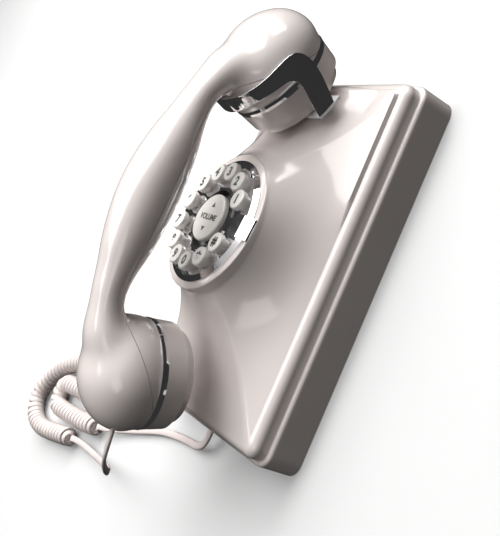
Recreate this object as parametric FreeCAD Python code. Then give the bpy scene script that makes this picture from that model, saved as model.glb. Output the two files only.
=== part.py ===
"""Push-button wall telephone with a corded handset, lying on its back.

Frame (mm): origin at the centre of the back face, which lies on the surface z = 0.
+X is the telephone's right, +Y its top, +Z away from the wall it would hang on.
Each function builds one piece; the pieces are written to parts/NAME.step at the end.
"""
import FreeCAD
import Part
import math
import os

V = FreeCAD.Vector

# ---------------------------------------------------------------- casing
BODY_WIDTH = 138.0
BODY_HEIGHT = 220.0
CORNER_RADIUS = 9.0
CASE_DEPTH = 18.0          # height of the rear case's side wall
CASE_WALL = 2.6
RIM_DEPTH = 4.0            # rounded rim of the front housing, above the rear case
RIM_ROUND = 2.2
TIER_INSET = 2.6           # how far the upper tier stands in from the rim
TIER_DEPTH = 10.0
TIER_ROUND = 3.0
SHELL_WALL = 2.6
TENT_INSET = 1.6           # foot of the rising front inside the tier's edge
BOSS_SPREAD = 50.0         # degrees: half the arc of the boss that faces each long side
BOSS_CORNER = 8.0          # degrees of the boss that face each corner

# ---------------------------------------------------------------- dial
DIAL_RADIUS = 38.0
DIAL_CENTRE_Y = 2.0
DIAL_FACE_Z = 72.3
DIAL_TILT = 4.5            # degrees: the dial looks a little towards the telephone's top
DIAL_SHEET = 1.2
DIAL_BEVEL = 3.0
DIAL_DROP = 2.6            # depth of the plate's bevelled edge
BEZEL_WIDTH = 4.0
BUTTON_COUNT = 12
BUTTON_PLACES = 13         # the thirteenth place holds the finger stop
BUTTON_RING = 27.9
BUTTON_RADIUS = 5.8
BUTTON_TOP = 5.4
BUTTON_HEAD = 3.1
BUTTON_STEM = 4.6
BUTTON_FLANGE = 1.3
BUTTON_TRAVEL = 1.8
BUTTON_GAP = 0.4
STOP_WIDTH = 12.4
STOP_INNER = 28.0
STOP_SHEET = 1.6
CARRIER_WALL = 1.4
CARRIER_SHELF = 2.5
MAT_THICK = 1.6
BOARD_THICK = 1.6
ROCKER_RADIUS = 14.4
ROCKER_THICK = 3.0
ROCKER_TOP = 2.6
ROCKER_TURN = 4.0
WELL_RADIUS = 18.4
WELL_DEPTH = 4.8
TRIM_WIDTH = 1.1
TRIM_RISE = 0.8
WELL_WALL = 1.0
PIN_RADIUS = 1.0
PIN_Z = -1.9
LUG_X = 4.4
LUG_WIDTH = 2.4

# ---------------------------------------------------------------- handset
HANDSET_SPAN = 185.4       # between the centres of the two chrome rings
HANDSET_Y = -0.1
HANDSET_Z = 74.1
HANDSET_PITCH = -1.2       # degrees: the mouth end stands a little further out
CAP_TILT = 14.5            # degrees: both ends look in towards the telephone
CAP_RADIUS = 31.0
BALL_RADIUS = 32.6
BALL_SHOULDER = 8.0
BALL_HEIGHT = 33.0
SHELL_THICK = 2.6
RING_DEPTH = 3.5
CAP_STEP_DEPTH = 12.0
CAP_DEPTH = 17.3
CAP_NOSE_RADIUS = 28.0
CAP_THICK = 2.4
CAPSULE_PLAY = 0.2
CAPSULE_FLANGE = 2.0
HANDSET_WEIGHT = (60.0, 13.0, 6.0)
SOUND_HOLE_RADIUS = 1.1
# along the handle: distance from its middle, rise, half width, half thickness
HANDLE_STATIONS = [
    (0.0, 39.5, 18.5, 16.4),
    (16.0, 39.2, 18.0, 15.5),
    (32.0, 38.6, 16.2, 13.2),
    (46.0, 37.8, 13.6, 10.2),
    (58.0, 36.4, 12.8, 8.8),
    (69.0, 33.0, 15.0, 9.6),
    (80.0, 28.3, 19.0, 13.0),
]
# seam between the two shells: distance from the handset's middle, rise
SEAM_POINTS = [
    (0.0, 35.5),
    (32.0, 34.6),
    (52.0, 32.5),
    (60.0, 30.5),
    (68.0, 25.5),
    (106.3, -3.5),
    (125.0, -17.0),
]

# ---------------------------------------------------------------- cradle
YOKE_CLEAR = 1.4
YOKE_SHEET = 1.8
YOKE_BAND_LOW = 6.0
YOKE_BAND_HIGH = 14.6
YOKE_LEG_FROM = -18.0      # degrees round the ear end, from +X
YOKE_LEG_TO = 5.0
YOKE_BASE_GAP = 1.3
YOKE_TRAVEL = 3.0
STEM_RADIUS = 4.0
STEM_LENGTH = 15.0
RUN_FIT = 0.06             # radial clearance of a shaft in its bore
GUIDE_WALL = 2.6
GUIDE_LENGTH = 11.0
NECK_HALF_WIDTH = 23.0
NECK_LOW = -17.0           # flat top of the neck, from the ear's middle
NECK_HIGH = 15.0
FREE_GAP = 0.6             # between pieces that move past each other
LEVER_REACH = 21.0         # from the lever's pin to its nose under the yoke's stem
LEVER_TAIL = 15.0
LEVER_WIDTH = 8.0
LEVER_THICK = 2.4
LEVER_HUB = 3.2
NOSE_RADIUS = 2.5
HOOK_PIN_RADIUS = 1.25
CHEEK_THICK = 1.6
SPRING_RADIUS = 3.0
SPRING_WIRE = 0.45
SPRING_TURNS = 7

# ---------------------------------------------------------------- inside and back
BOARD_WIDTH = 88.0
BOARD_HEIGHT = 96.0
BOARD_Z = 9.0
BOARD_Y = 18.0
POST_RADIUS = 4.0
SCREW_RADIUS = 1.5
SCREW_HEAD_RADIUS = 2.8
SCREW_INSET = 14.0
WEIGHT_SIZE = (84.0, 34.0, 6.0)
WEIGHT_Y = -66.0
RINGER_RADIUS = 17.0
RINGER_HEIGHT = 9.0
KEYHOLE_SPACING = 101.6    # the stud spacing of a wall telephone plate
KEYHOLE_RADIUS = 4.4
KEYHOLE_SLOT = 2.2
KEYHOLE_RUN = 8.0
LINE_JACK = (13.0, 15.0, 12.0)
LINE_JACK_Y = -22.0
JACK_WIDTH = 13.0
JACK_THICK = 11.0
JACK_DEPTH = 15.0
JACK_MOUTH_WIDTH = 9.0
JACK_MOUTH_THICK = 7.0
JACK_FLOOR = 4.0
BODY_JACK_X = -10.0
HANDSET_JACK_OUT = 30.9    # face of the handset's jack, from the mouth end's middle
JACK_Z = 9.5
SWITCH_X = 34.0
SWITCH_TRAVEL = 4.0
KNOB_HALF = 2.0
VENT_COUNT = 7             # sound slots in the back, over the ringer's side
VENT_X = (-52.0, -30.0)
VENT_Y = -30.0
VENT_PITCH = 4.0
VENT_SLOT = 1.6
RINGER_Y = -54.0
RINGER_STANDOFF = 4.0      # above the board's upper face
RINGER_RIM = 6.0
STRAP_WIDTH = 8.0
STRAP_HALF_SPAN = 22.0
STRAP_SHEET = 1.5
STRAP_LEG = 4.0
CHIP_SIZE = (16.0, 8.0, 3.0)
CHIP_CORNERS = [(-30.0, 0.0), (4.0, 4.0), (-36.0, 40.0)]
CAN_RADIUS = 3.2
CAN_HEIGHT = 11.0
CAN_PLACES = [(-34.0, 20.0), (-24.0, 20.0), (24.0, 26.0), (32.0, -16.0)]

# ---------------------------------------------------------------- cord
CURL_DIAMETER = 15.0
TAIL_DIAMETER = 5.0
PLUG_PLAY = 0.3
PLUG_LENGTH = 12.0
PLUG_STANDOUT = 1.5
RUN_SHARE = 0.45           # of the shorter run that a bend may take up
# the cord's route: x, distance below the foot of the case, z
# flat tail on the surface, from the telephone's plug to the curly length
BODY_TAIL_ROUTE = [
    (-11.0, 10.0, 8.3),
    (-22.0, 17.5, 4.9),
    (-44.0, 19.5, 2.7),
    (-72.0, 24.5, 2.7),
    (-104.0, 36.0, 2.8),
    (-134.0, 47.0, 4.6),
    (-152.0, 52.4, 7.7),
]
# curly length, doubled back on itself on the surface
CURL_ROUTE = [
    (-152.0, 52.4, 7.7),
    (-175.0, 57.4, 7.7),
    (-198.0, 60.5, 7.7),
    (-221.0, 63.5, 7.7),
    (-242.0, 64.8, 7.7),
    (-242.6, 44.6, 7.7),
    (-222.0, 42.4, 7.7),
    (-204.0, 39.6, 7.7),
    (-185.5, 37.8, 7.7),
    (-185.0, 18.4, 7.7),
    (-206.0, 17.6, 7.7),
    (-232.0, 23.0, 7.7),
    (-258.0, 35.0, 7.7),
    (-279.0, 52.0, 7.7),
    (-288.0, 71.0, 7.7),
    (-276.0, 86.0, 7.7),
    (-254.0, 89.0, 7.7),
    (-230.0, 84.5, 7.7),
    (-207.0, 79.0, 7.7),
    (-187.0, 74.6, 7.7),
]
# flat tail that rises to the handset's plug
HANDSET_TAIL_ROUTE = [
    (-187.0, 74.6, 7.7),
    (-171.0, 72.4, 6.6),
    (-145.0, 71.6, 5.6),
    (-113.0, 68.0, 11.5),
    (-78.0, 61.5, 26.0),
    (-44.0, 53.0, 45.5),
    (-17.5, 41.5, 64.0),
    (-2.0, 28.5, 74.2),
]


# ================================================================ small helpers
def rounded_outline(width, height, radius, z=0.0):
    """Rounded rectangle in the plane at z, from its right side, anticlockwise."""
    a, b, r = width / 2, height / 2, radius
    bend = r * math.sqrt(0.5)
    lines = [
        (V(a, -b + r, z), V(a, b - r, z)),
        (V(a - r, b, z), V(-a + r, b, z)),
        (V(-a, b - r, z), V(-a, -b + r, z)),
        (V(-a + r, -b, z), V(a - r, -b, z)),
    ]
    middles = [
        V(a - r + bend, b - r + bend, z),
        V(-a + r - bend, b - r + bend, z),
        V(-a + r - bend, -b + r - bend, z),
        V(a - r + bend, -b + r - bend, z),
    ]
    edges = []
    for i, (start, end) in enumerate(lines):
        edges.append(Part.LineSegment(start, end).toShape())
        edges.append(Part.Arc(end, middles[i], lines[(i + 1) % 4][0]).toShape())
    return Part.Wire(edges)


def rounded_block(width, height, radius, z_low, z_high):
    face = Part.Face(rounded_outline(width, height, radius, z_low))
    return face.extrude(V(0, 0, z_high - z_low))


def block(x, y, z):
    """Box from three (low, high) pairs."""
    return Part.makeBox(x[1] - x[0], y[1] - y[0], z[1] - z[0], V(x[0], y[0], z[0]))


def disc(radius, z_low, z_high, x=0.0, y=0.0):
    return Part.makeCylinder(radius, z_high - z_low, V(x, y, z_low))


def ring(outer, inner, z_low, z_high, x=0.0, y=0.0):
    return disc(outer, z_low, z_high, x, y).cut(disc(inner, z_low - 1, z_high + 1, x, y))


def turned(points):
    """Solid of revolution about Z from (radius, z) points joined by straight lines."""
    corners = [V(r, 0, z) for r, z in points]
    face = Part.Face(Part.makePolygon(corners + corners[:1]))
    return face.revolve(V(0, 0, 0), V(0, 0, 1), 360)


def fused(shapes):
    whole = shapes[0].multiFuse(shapes[1:]) if len(shapes) > 1 else shapes[0]
    return whole.removeSplitter()


def group(shapes):
    return Part.makeCompound(shapes)


def side(shape, factor=-1):
    """The same shape mirrored to the other side in X."""
    return shape.mirror(V(0, 0, 0), V(1, 0, 0)) if factor < 0 else shape


def tilted(shape, degrees, y, z):
    """Turn about X through the local origin, then move it to (0, y, z)."""
    placed = shape.copy()
    placed.rotate(V(0, 0, 0), V(1, 0, 0), degrees)
    placed.translate(V(0, y, z))
    return placed


def on_dial(shape):
    """From the dial's own frame, whose z = 0 is the plate's face, to the telephone's."""
    return tilted(shape, -DIAL_TILT, DIAL_CENTRE_Y, DIAL_FACE_Z)


def place_handset(shape):
    return tilted(shape, HANDSET_PITCH, HANDSET_Y, HANDSET_Z)


def on_end(shape, end):
    """From an end's own frame, z outwards from its ring, to the handset's. end = 1 is the ear."""
    placed = tilted(shape, -CAP_TILT * end, 0, 0)
    placed.translate(V(0, HANDSET_SPAN / 2 * end, 0))
    return placed


def on_ear(shape):
    """From the ear end's own frame to the telephone's, for what is built round the ear."""
    return place_handset(on_end(shape, 1))


def ear_point(y, z):
    """(y, z) in the telephone's frame of a point given in the ear end's own frame."""
    point = on_ear(Part.Vertex(0, y, z)).Point
    return point.y, point.z


# ================================================================ derived places
RIM_Z = CASE_DEPTH + RIM_DEPTH
TIER_Z = RIM_Z + TIER_DEPTH
TIER_WIDTH = BODY_WIDTH - 2 * TIER_INSET
TIER_HEIGHT = BODY_HEIGHT - 2 * TIER_INSET
BEZEL_RADIUS = DIAL_RADIUS + BEZEL_WIDTH
BEZEL_TOP = -DIAL_DROP
YOKE_INNER = BALL_RADIUS + YOKE_CLEAR
YOKE_OUTER = YOKE_INNER + YOKE_SHEET
CAP_FRONT = -(RING_DEPTH + CAP_DEPTH)
YOKE_BASE_TOP = CAP_FRONT - YOKE_BASE_GAP
YOKE_BASE_LOW = YOKE_BASE_TOP - YOKE_SHEET
NECK_TOP = YOKE_BASE_LOW - FREE_GAP
STEM_END = YOKE_BASE_LOW - STEM_LENGTH
BUTTON_HOLE = BUTTON_STEM + BUTTON_GAP
MAT_TOP = -DIAL_SHEET - BUTTON_GAP - BUTTON_FLANGE - BUTTON_TRAVEL - BUTTON_GAP
BOARD_TOP = MAT_TOP - MAT_THICK
SEAT_RADIUS = DIAL_RADIUS - 2.0
CARRIER_INNER = SEAT_RADIUS - CARRIER_WALL
SCREW_PLACES = [
    (sx * (BODY_WIDTH / 2 - SCREW_INSET), sy * (BODY_HEIGHT / 2 - SCREW_INSET))
    for sx in (-1, 1)
    for sy in (-1, 1)
]


# ================================================================ casing
def boss_outline(radius):
    """Circle split where the rising front's flat sides and corners meet it."""
    turns = []
    angle = -BOSS_SPREAD
    spans = [2 * BOSS_SPREAD, BOSS_CORNER, 180 - 2 * BOSS_SPREAD - 2 * BOSS_CORNER, BOSS_CORNER] * 2
    for span in spans:
        turns.append((angle, angle + span))
        angle += span

    def at(degrees):
        return V(radius * math.cos(math.radians(degrees)), radius * math.sin(math.radians(degrees)), 0)

    return Part.Wire([Part.Arc(at(a), at((a + b) / 2), at(b)).toShape() for a, b in turns])


def rising_front(inset):
    """The tent-like front, from the tier up to the dial's boss, all set in by inset."""
    foot_z = TIER_Z - TIER_ROUND - inset
    foot = rounded_outline(
        TIER_WIDTH - 2 * (TENT_INSET + inset),
        TIER_HEIGHT - 2 * (TENT_INSET + inset),
        CORNER_RADIUS - TIER_INSET,
        foot_z,
    )
    top = tilted(boss_outline(BEZEL_RADIUS - inset), -DIAL_TILT, DIAL_CENTRE_Y, DIAL_FACE_Z)
    top.translate(V(0, 0, BEZEL_TOP - BEZEL_WIDTH - inset))
    return Part.makeLoft([foot, top], True, True)


def neck(inset):
    """Raised saddle between the boss and the cradle, as a loft of cross-sections along Y."""
    foot_z = TIER_Z - TIER_ROUND - inset
    half = NECK_HALF_WIDTH - inset
    flare = NECK_HALF_WIDTH * 2 - inset
    low_y, low_z = ear_point(NECK_LOW, NECK_TOP - inset)
    high_y, high_z = ear_point(NECK_HIGH, NECK_TOP - inset)
    stations = [
        (DIAL_CENTRE_Y + BEZEL_RADIUS * 0.6, DIAL_FACE_Z + BEZEL_TOP - BEZEL_WIDTH - inset, half * 1.25),
        (low_y, low_z, half),
        (high_y, high_z, half),
        (TIER_HEIGHT / 2 - TENT_INSET - inset, foot_z + 0.5, half * 1.1),
    ]
    sections = []
    for y, z, wide in stations:
        outline = [(flare, foot_z - 2), (flare * 0.98, foot_z), (wide, z)]
        outline += [(-x, z) for x, z in reversed(outline)]
        corners = [V(x, y, z) for x, z in outline]
        sections.append(Part.makePolygon(corners + corners[:1]))
    return Part.makeLoft(sections, True, True)


def housing_form(inset):
    """Outer form of the front housing, or its hollow when inset is the wall."""
    tier = rounded_block(
        TIER_WIDTH - 2 * inset,
        TIER_HEIGHT - 2 * inset,
        CORNER_RADIUS - TIER_INSET - inset / 2,
        CASE_DEPTH - (1 if inset else 0),
        TIER_Z - inset,
    )
    if not inset:
        top_edges = [e for e in tier.Edges if all(abs(v.Point.z - TIER_Z) < 0.01 for v in e.Vertexes)]
        tier = tier.makeFillet(TIER_ROUND, top_edges)
    boss = on_dial(disc(BEZEL_RADIUS - inset, BEZEL_TOP - BEZEL_WIDTH * 3, BEZEL_TOP - inset * 1.5))
    return fused([tier, rising_front(inset), neck(inset), boss])


def front_housing():
    rim = rounded_block(BODY_WIDTH, BODY_HEIGHT, CORNER_RADIUS, CASE_DEPTH, RIM_Z)
    rim = rim.makeFillet(RIM_ROUND, [
        e for e in rim.Edges if all(abs(v.Point.z - RIM_Z) < 0.01 for v in e.Vertexes)
    ])
    shell = fused([rim, housing_form(0)]).cut(housing_form(SHELL_WALL))
    seat = on_dial(disc(SEAT_RADIUS, BEZEL_TOP - 8, BEZEL_TOP + 1))
    guide = on_ear(disc(STEM_RADIUS + RUN_FIT + GUIDE_WALL, NECK_TOP - 30, NECK_TOP + 1))
    shell = shell.cut(seat).cut(guide)
    posts = fused([disc(POST_RADIUS, CASE_DEPTH, TIER_Z + 12, x, y) for x, y in SCREW_PLACES])
    shell = fused([shell, posts.common(housing_form(SHELL_WALL / 2))])
    for x, y in SCREW_PLACES:
        shell = shell.cut(disc(SCREW_RADIUS, CASE_DEPTH - 1, CASE_DEPTH + 8, x, y))
    return shell


def keyhole(y):
    """Round entry with a slot that runs towards the telephone's top."""
    entry = disc(KEYHOLE_RADIUS, -1, CASE_WALL + 1, 0, y - KEYHOLE_RUN)
    slot = block((-KEYHOLE_SLOT, KEYHOLE_SLOT), (y - KEYHOLE_RUN, y), (-1, CASE_WALL + 1))
    return fused([entry, slot, disc(KEYHOLE_SLOT, -1, CASE_WALL + 1, 0, y)])


def rear_case():
    tray = rounded_block(BODY_WIDTH, BODY_HEIGHT, CORNER_RADIUS, 0, CASE_DEPTH)
    hollow = rounded_block(
        BODY_WIDTH - 2 * CASE_WALL, BODY_HEIGHT - 2 * CASE_WALL,
        CORNER_RADIUS - CASE_WALL, CASE_WALL, CASE_DEPTH + 1)
    tray = tray.cut(hollow)
    posts = [disc(POST_RADIUS, CASE_WALL, CASE_DEPTH, x, y) for x, y in SCREW_PLACES]
    posts += [disc(POST_RADIUS, CASE_WALL, BOARD_Z, x, y) for x, y in board_corners()]
    tray = fused([tray] + posts)
    for x, y in SCREW_PLACES:
        tray = tray.cut(disc(SCREW_RADIUS + 0.3, -1, CASE_DEPTH + 1, x, y))
        tray = tray.cut(disc(SCREW_HEAD_RADIUS + 0.4, -1, CASE_DEPTH / 2, x, y))
    for x, y in board_corners():
        tray = tray.cut(disc(SCREW_RADIUS - 0.3, CASE_WALL, BOARD_Z + 1, x, y))
    for y in (-KEYHOLE_SPACING / 2, KEYHOLE_SPACING / 2):
        tray = tray.cut(keyhole(y))
    line = block(
        (-LINE_JACK[0] / 2, LINE_JACK[0] / 2),
        (LINE_JACK_Y - LINE_JACK[1] / 2, LINE_JACK_Y + LINE_JACK[1] / 2),
        (-1, CASE_WALL + 1))
    mouth = body_jack_frame(jack_box(JACK_WIDTH, JACK_THICK, -JACK_DEPTH, 1))
    knob_room = KNOB_HALF + FREE_GAP
    knob_reach = SWITCH_TRAVEL / 2 + knob_room
    knob = block(
        (SWITCH_X - knob_reach, SWITCH_X + knob_reach),
        (-BODY_HEIGHT / 2 - 1, -BODY_HEIGHT / 2 + CASE_WALL + 1),
        (JACK_Z - knob_room, JACK_Z + knob_room))
    tray = tray.cut(line).cut(mouth).cut(knob)
    for i in range(-VENT_COUNT // 2 + 1, VENT_COUNT // 2 + 1):
        y = VENT_Y + i * VENT_PITCH
        slot = block(VENT_X, (y - VENT_SLOT / 2, y + VENT_SLOT / 2), (-1, CASE_WALL + 1))
        tray = tray.cut(slot)
    return tray


def case_screws():
    screws = []
    for x, y in SCREW_PLACES:
        head = disc(SCREW_HEAD_RADIUS, CASE_DEPTH / 2 - 2.2, CASE_DEPTH / 2, x, y)
        screws.append(head.fuse(disc(SCREW_RADIUS, CASE_DEPTH / 2, CASE_DEPTH + 7.5, x, y)).removeSplitter())
    return group(screws)


# ================================================================ dial
def button_places():
    step = 360.0 / BUTTON_PLACES
    for i in range(BUTTON_COUNT):
        angle = math.radians((i + 1) * step)
        yield BUTTON_RING * math.cos(angle), BUTTON_RING * math.sin(angle)


def dial_plate():
    plate = turned([
        (WELL_RADIUS + 0.3, 0),
        (DIAL_RADIUS - DIAL_BEVEL, 0),
        (DIAL_RADIUS, -DIAL_BEVEL * 0.6),
        (DIAL_RADIUS, -DIAL_DROP),
        (DIAL_RADIUS - DIAL_SHEET, -DIAL_DROP),
        (DIAL_RADIUS - DIAL_SHEET, -DIAL_BEVEL * 0.6 - 0.4),
        (DIAL_RADIUS - DIAL_BEVEL - 0.4, -DIAL_SHEET),
        (WELL_RADIUS + 0.3, -DIAL_SHEET),
    ])
    for x, y in button_places():
        plate = plate.cut(disc(BUTTON_HOLE, -DIAL_SHEET - 1, 1, x, y))
    return on_dial(plate)


def dial_carrier():
    """Ring under the plate that carries the mat and the key board in the boss."""
    shelf_top = BOARD_TOP - BOARD_THICK
    body = ring(SEAT_RADIUS, CARRIER_INNER, shelf_top - CARRIER_WALL, -DIAL_DROP)
    shelf = ring(CARRIER_INNER, CARRIER_INNER - CARRIER_SHELF, shelf_top - CARRIER_WALL, shelf_top)
    return on_dial(fused([body, shelf]))


def key_mat():
    mat = disc(CARRIER_INNER - BUTTON_GAP, BOARD_TOP, MAT_TOP)
    return on_dial(mat.cut(disc(WELL_RADIUS + 1.6, BOARD_TOP - 1, MAT_TOP + 1)))


def key_board():
    board = disc(CARRIER_INNER - BUTTON_GAP, BOARD_TOP - BOARD_THICK, BOARD_TOP)
    return on_dial(board.cut(disc(4.0, BOARD_TOP - BOARD_THICK - 1, BOARD_TOP + 1)))


def button(x, y):
    head = disc(BUTTON_RADIUS, BUTTON_TOP - BUTTON_HEAD, BUTTON_TOP, x, y)
    rim = [e for e in head.Edges if abs(e.BoundBox.ZMin - BUTTON_TOP) < 0.01]
    head = head.makeFillet(1.0, rim)
    low = -DIAL_SHEET - BUTTON_GAP
    stem = disc(BUTTON_STEM, low - BUTTON_FLANGE, BUTTON_TOP - BUTTON_HEAD, x, y)
    flange = disc(BUTTON_RADIUS - 0.1, low - BUTTON_FLANGE, low, x, y)
    return on_dial(fused([head, stem, flange]))


def rocker_well():
    """Dark cup in the middle of the dial, with two lugs for the rocker's pin."""
    cup = disc(WELL_RADIUS, -WELL_DEPTH, -DIAL_SHEET)
    flange = disc(WELL_RADIUS + 1.2, -DIAL_SHEET - 1.0, -DIAL_SHEET)
    cup = fused([cup, flange]).cut(disc(WELL_RADIUS - WELL_WALL, -WELL_DEPTH + WELL_WALL, 1))
    lugs = [
        block((LUG_X * s - LUG_WIDTH / 2, LUG_X * s + LUG_WIDTH / 2), (-2.0, 2.0),
              (-WELL_DEPTH + WELL_WALL / 2, PIN_Z + 1.2))
        for s in (-1, 1)
    ]
    return on_dial(fused([cup] + lugs).cut(rocker_axle(LUG_X + LUG_WIDTH, 0)))


def rocker_axle(half_length, clearance):
    return Part.makeCylinder(PIN_RADIUS + clearance, half_length * 2, V(-half_length, 0, PIN_Z), V(1, 0, 0))


def rocker_pin():
    return on_dial(rocker_axle(LUG_X + LUG_WIDTH / 2, 0))


def volume_rocker():
    cap = disc(ROCKER_RADIUS, ROCKER_TOP - ROCKER_THICK, ROCKER_TOP)
    rim = [e for e in cap.Edges if abs(e.BoundBox.ZMin - ROCKER_TOP) < 0.01]
    cap = cap.makeFillet(1.2, rim)
    foot_half = LUG_X - LUG_WIDTH / 2 - BUTTON_GAP
    foot = block((-foot_half, foot_half), (-1.8, 1.8), (PIN_Z - 1.5, ROCKER_TOP - ROCKER_THICK))
    foot = foot.fuse(rocker_axle(foot_half, 0.8))
    return on_dial(fused([cap, foot]).cut(rocker_axle(LUG_X, RUN_FIT)))


def rocker_trim():
    return on_dial(ring(WELL_RADIUS + 0.3 + TRIM_WIDTH, WELL_RADIUS - 0.9, 0.0, TRIM_RISE))


def finger_stop():
    """Sheet tongue that follows the plate's bevel down on to the bezel."""
    bevel = DIAL_RADIUS - DIAL_BEVEL
    drop = DIAL_BEVEL * 0.6
    outer = BEZEL_RADIUS - 0.6
    profile = [
        (STOP_INNER, 0),
        (bevel, 0),
        (DIAL_RADIUS + 0.2, -drop),
        (DIAL_RADIUS + 0.2, BEZEL_TOP),
        (outer, BEZEL_TOP),
        (outer, BEZEL_TOP + STOP_SHEET * 0.7),
        (DIAL_RADIUS, -drop + STOP_SHEET * 1.2),
        (bevel, STOP_SHEET),
        (STOP_INNER, STOP_SHEET),
    ]
    corners = [V(x, -STOP_WIDTH / 2, z) for x, z in profile]
    face = Part.Face(Part.makePolygon(corners + corners[:1]))
    return on_dial(face.extrude(V(0, STOP_WIDTH, 0)))


# ================================================================ handset
def end_form(inset):
    """Domed end of the handset above its ring, about the local Z axis."""
    r_base = CAP_RADIUS - inset
    r_max = BALL_RADIUS - inset
    top = BALL_HEIGHT - inset
    dome = Part.Ellipse(V(0, 0, BALL_SHOULDER), r_max, top - BALL_SHOULDER)
    steps = 14
    arc = []
    for i in range(steps + 1):
        t = math.radians(90.0 * i / steps)
        arc.append(V(dome.MajorRadius * math.cos(t), 0, BALL_SHOULDER + dome.MinorRadius * math.sin(t)))
    skin = Part.BSplineCurve()
    skin.interpolate([V(r_base, 0, 0)] + arc[1:] if r_base == r_max else [V(r_base, 0, 0)] + arc)
    edges = [
        skin.toShape(),
        Part.LineSegment(V(0, 0, top), V(0, 0, 0)).toShape(),
        Part.LineSegment(V(0, 0, 0), V(r_base, 0, 0)).toShape(),
    ]
    return Part.Face(Part.Wire(edges)).revolve(V(0, 0, 0), V(0, 0, 1), 360)


def handle_form(inset):
    """Swelling handle between the two ends, in the handset's frame."""
    stations = [(-y, z, a, b) for y, z, a, b in reversed(HANDLE_STATIONS[1:])] + HANDLE_STATIONS
    wires = []
    for i, (y, z, a, b) in enumerate(stations):
        before = stations[max(i - 1, 0)]
        after = stations[min(i + 1, len(stations) - 1)]
        slope = math.atan2(after[1] - before[1], after[0] - before[0])
        across = Part.Ellipse(V(0, 0, 0), max(a, b) - inset, min(a, b) - inset)
        section = Part.Wire([across.toShape()])
        section.rotate(V(0, 0, 0), V(1, 0, 0), 90 + math.degrees(slope))
        section.translate(V(0, y, z))
        wires.append(section)
    return Part.makeLoft(wires, True, False)


def handset_form(inset):
    ends = [on_end(end_form(inset), end) for end in (1, -1)]
    return ends[0].fuse(handle_form(inset)).fuse(ends[1])


def seam_region():
    """Everything on the telephone's side of the seam between the two handset shells."""
    reach = HANDSET_SPAN
    line = [(-y, z) for y, z in reversed(SEAM_POINTS[1:])] + SEAM_POINTS
    end_z = SEAM_POINTS[-1][1]
    line += [(reach, end_z), (reach, -reach), (-reach, -reach), (-reach, end_z)]
    corners = [V(-reach, y, z) for y, z in line]
    return Part.Face(Part.makePolygon(corners + corners[:1])).extrude(V(reach * 2, 0, 0))


def handset_shell():
    whole = handset_form(0).cut(handset_form(SHELL_THICK))
    return whole.cut(jack_frame(jack_box(JACK_WIDTH, JACK_THICK, -JACK_DEPTH, BALL_RADIUS)))


def handset_outer_shell():
    return place_handset(handset_shell().cut(seam_region()))


def handset_inner_shell():
    return place_handset(handset_shell().common(seam_region()))


def cap_form():
    """Screw cap of either end, hollow, in the end's frame below its ring."""
    low = -RING_DEPTH
    step = low - CAP_STEP_DEPTH
    nose = low - CAP_DEPTH
    t = CAP_THICK
    return turned([
        (CAP_RADIUS, low),
        (CAP_RADIUS - 0.8, step),
        (CAP_NOSE_RADIUS, step - 0.8),
        (CAP_NOSE_RADIUS - 1.4, nose),
        (0, nose),
        (0, nose + t),
        (CAP_NOSE_RADIUS - 1.4 - t, nose + t),
        (CAP_RADIUS - 0.8 - t, step + t),
        (CAP_RADIUS - t, low),
    ])


def sound_cap(end, rings):
    cap = cap_form()
    low = -RING_DEPTH - CAP_DEPTH
    for count, radius in rings:
        for i in range(count):
            angle = 2 * math.pi * i / count
            hole = disc(SOUND_HOLE_RADIUS, low - 1, low + CAP_THICK + 1,
                        radius * math.cos(angle), radius * math.sin(angle))
            cap = cap.cut(hole)
    return place_handset(on_end(cap, end))


def chrome_ring(end):
    band = turned([
        (CAP_RADIUS - 4.0, 0),
        (CAP_RADIUS, 0),
        (CAP_RADIUS + 0.35, -RING_DEPTH / 2),
        (CAP_RADIUS, -RING_DEPTH),
        (CAP_RADIUS - 4.0, -RING_DEPTH),
    ])
    return place_handset(on_end(band, end))


def capsule(end, radius, depth):
    """Sound capsule, held by its flange between the chrome ring and the cap."""
    top = -RING_DEPTH
    body = disc(radius, top - depth, top)
    flange = disc(CAP_RADIUS - CAP_THICK - CAPSULE_PLAY, top - CAPSULE_FLANGE, top)
    return place_handset(on_end(fused([body, flange]), end))


def handset_weight():
    """Steel bar on two legs inside the handle."""
    z = HANDLE_STATIONS[0][1]
    long, wide, thick = HANDSET_WEIGHT
    bar = block((-wide / 2, wide / 2), (-long / 2, long / 2), (z - thick / 2, z + thick / 2))
    legs = [block((-wide / 2, wide / 2), (s * 20 - 3, s * 20 + 3), (0, z)) for s in (-1, 1)]
    return place_handset(fused([bar] + legs).common(handset_form(SHELL_THICK)))


def jack_box(width, thick, z_low, z_high):
    return block((-width / 2, width / 2), (-thick / 2, thick / 2), (z_low, z_high))


def jack_body():
    """Modular socket, its face at z = 0, looking along +z."""
    shell = jack_box(JACK_WIDTH, JACK_THICK, -JACK_DEPTH, 0)
    return shell.cut(jack_box(JACK_MOUTH_WIDTH, JACK_MOUTH_THICK, -JACK_DEPTH + JACK_FLOOR, 1))


def plug_body():
    """Modular plug in that socket."""
    body = jack_box(
        JACK_MOUTH_WIDTH - 2 * PLUG_PLAY, JACK_MOUTH_THICK - 2 * PLUG_PLAY,
        PLUG_STANDOUT - PLUG_LENGTH, PLUG_STANDOUT)
    edges = [e for e in body.Edges if abs(e.BoundBox.ZMin - PLUG_STANDOUT) < 0.01]
    return body.makeChamfer(0.6, edges)


def jack_frame(shape):
    """From a socket's frame to the mouth end's bottom, in the handset's frame."""
    placed = shape.copy()
    placed.rotate(V(0, 0, 0), V(1, 0, 0), 90)
    placed.translate(V(0, -HANDSET_JACK_OUT, BALL_SHOULDER))
    return on_end(placed, -1)


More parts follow.
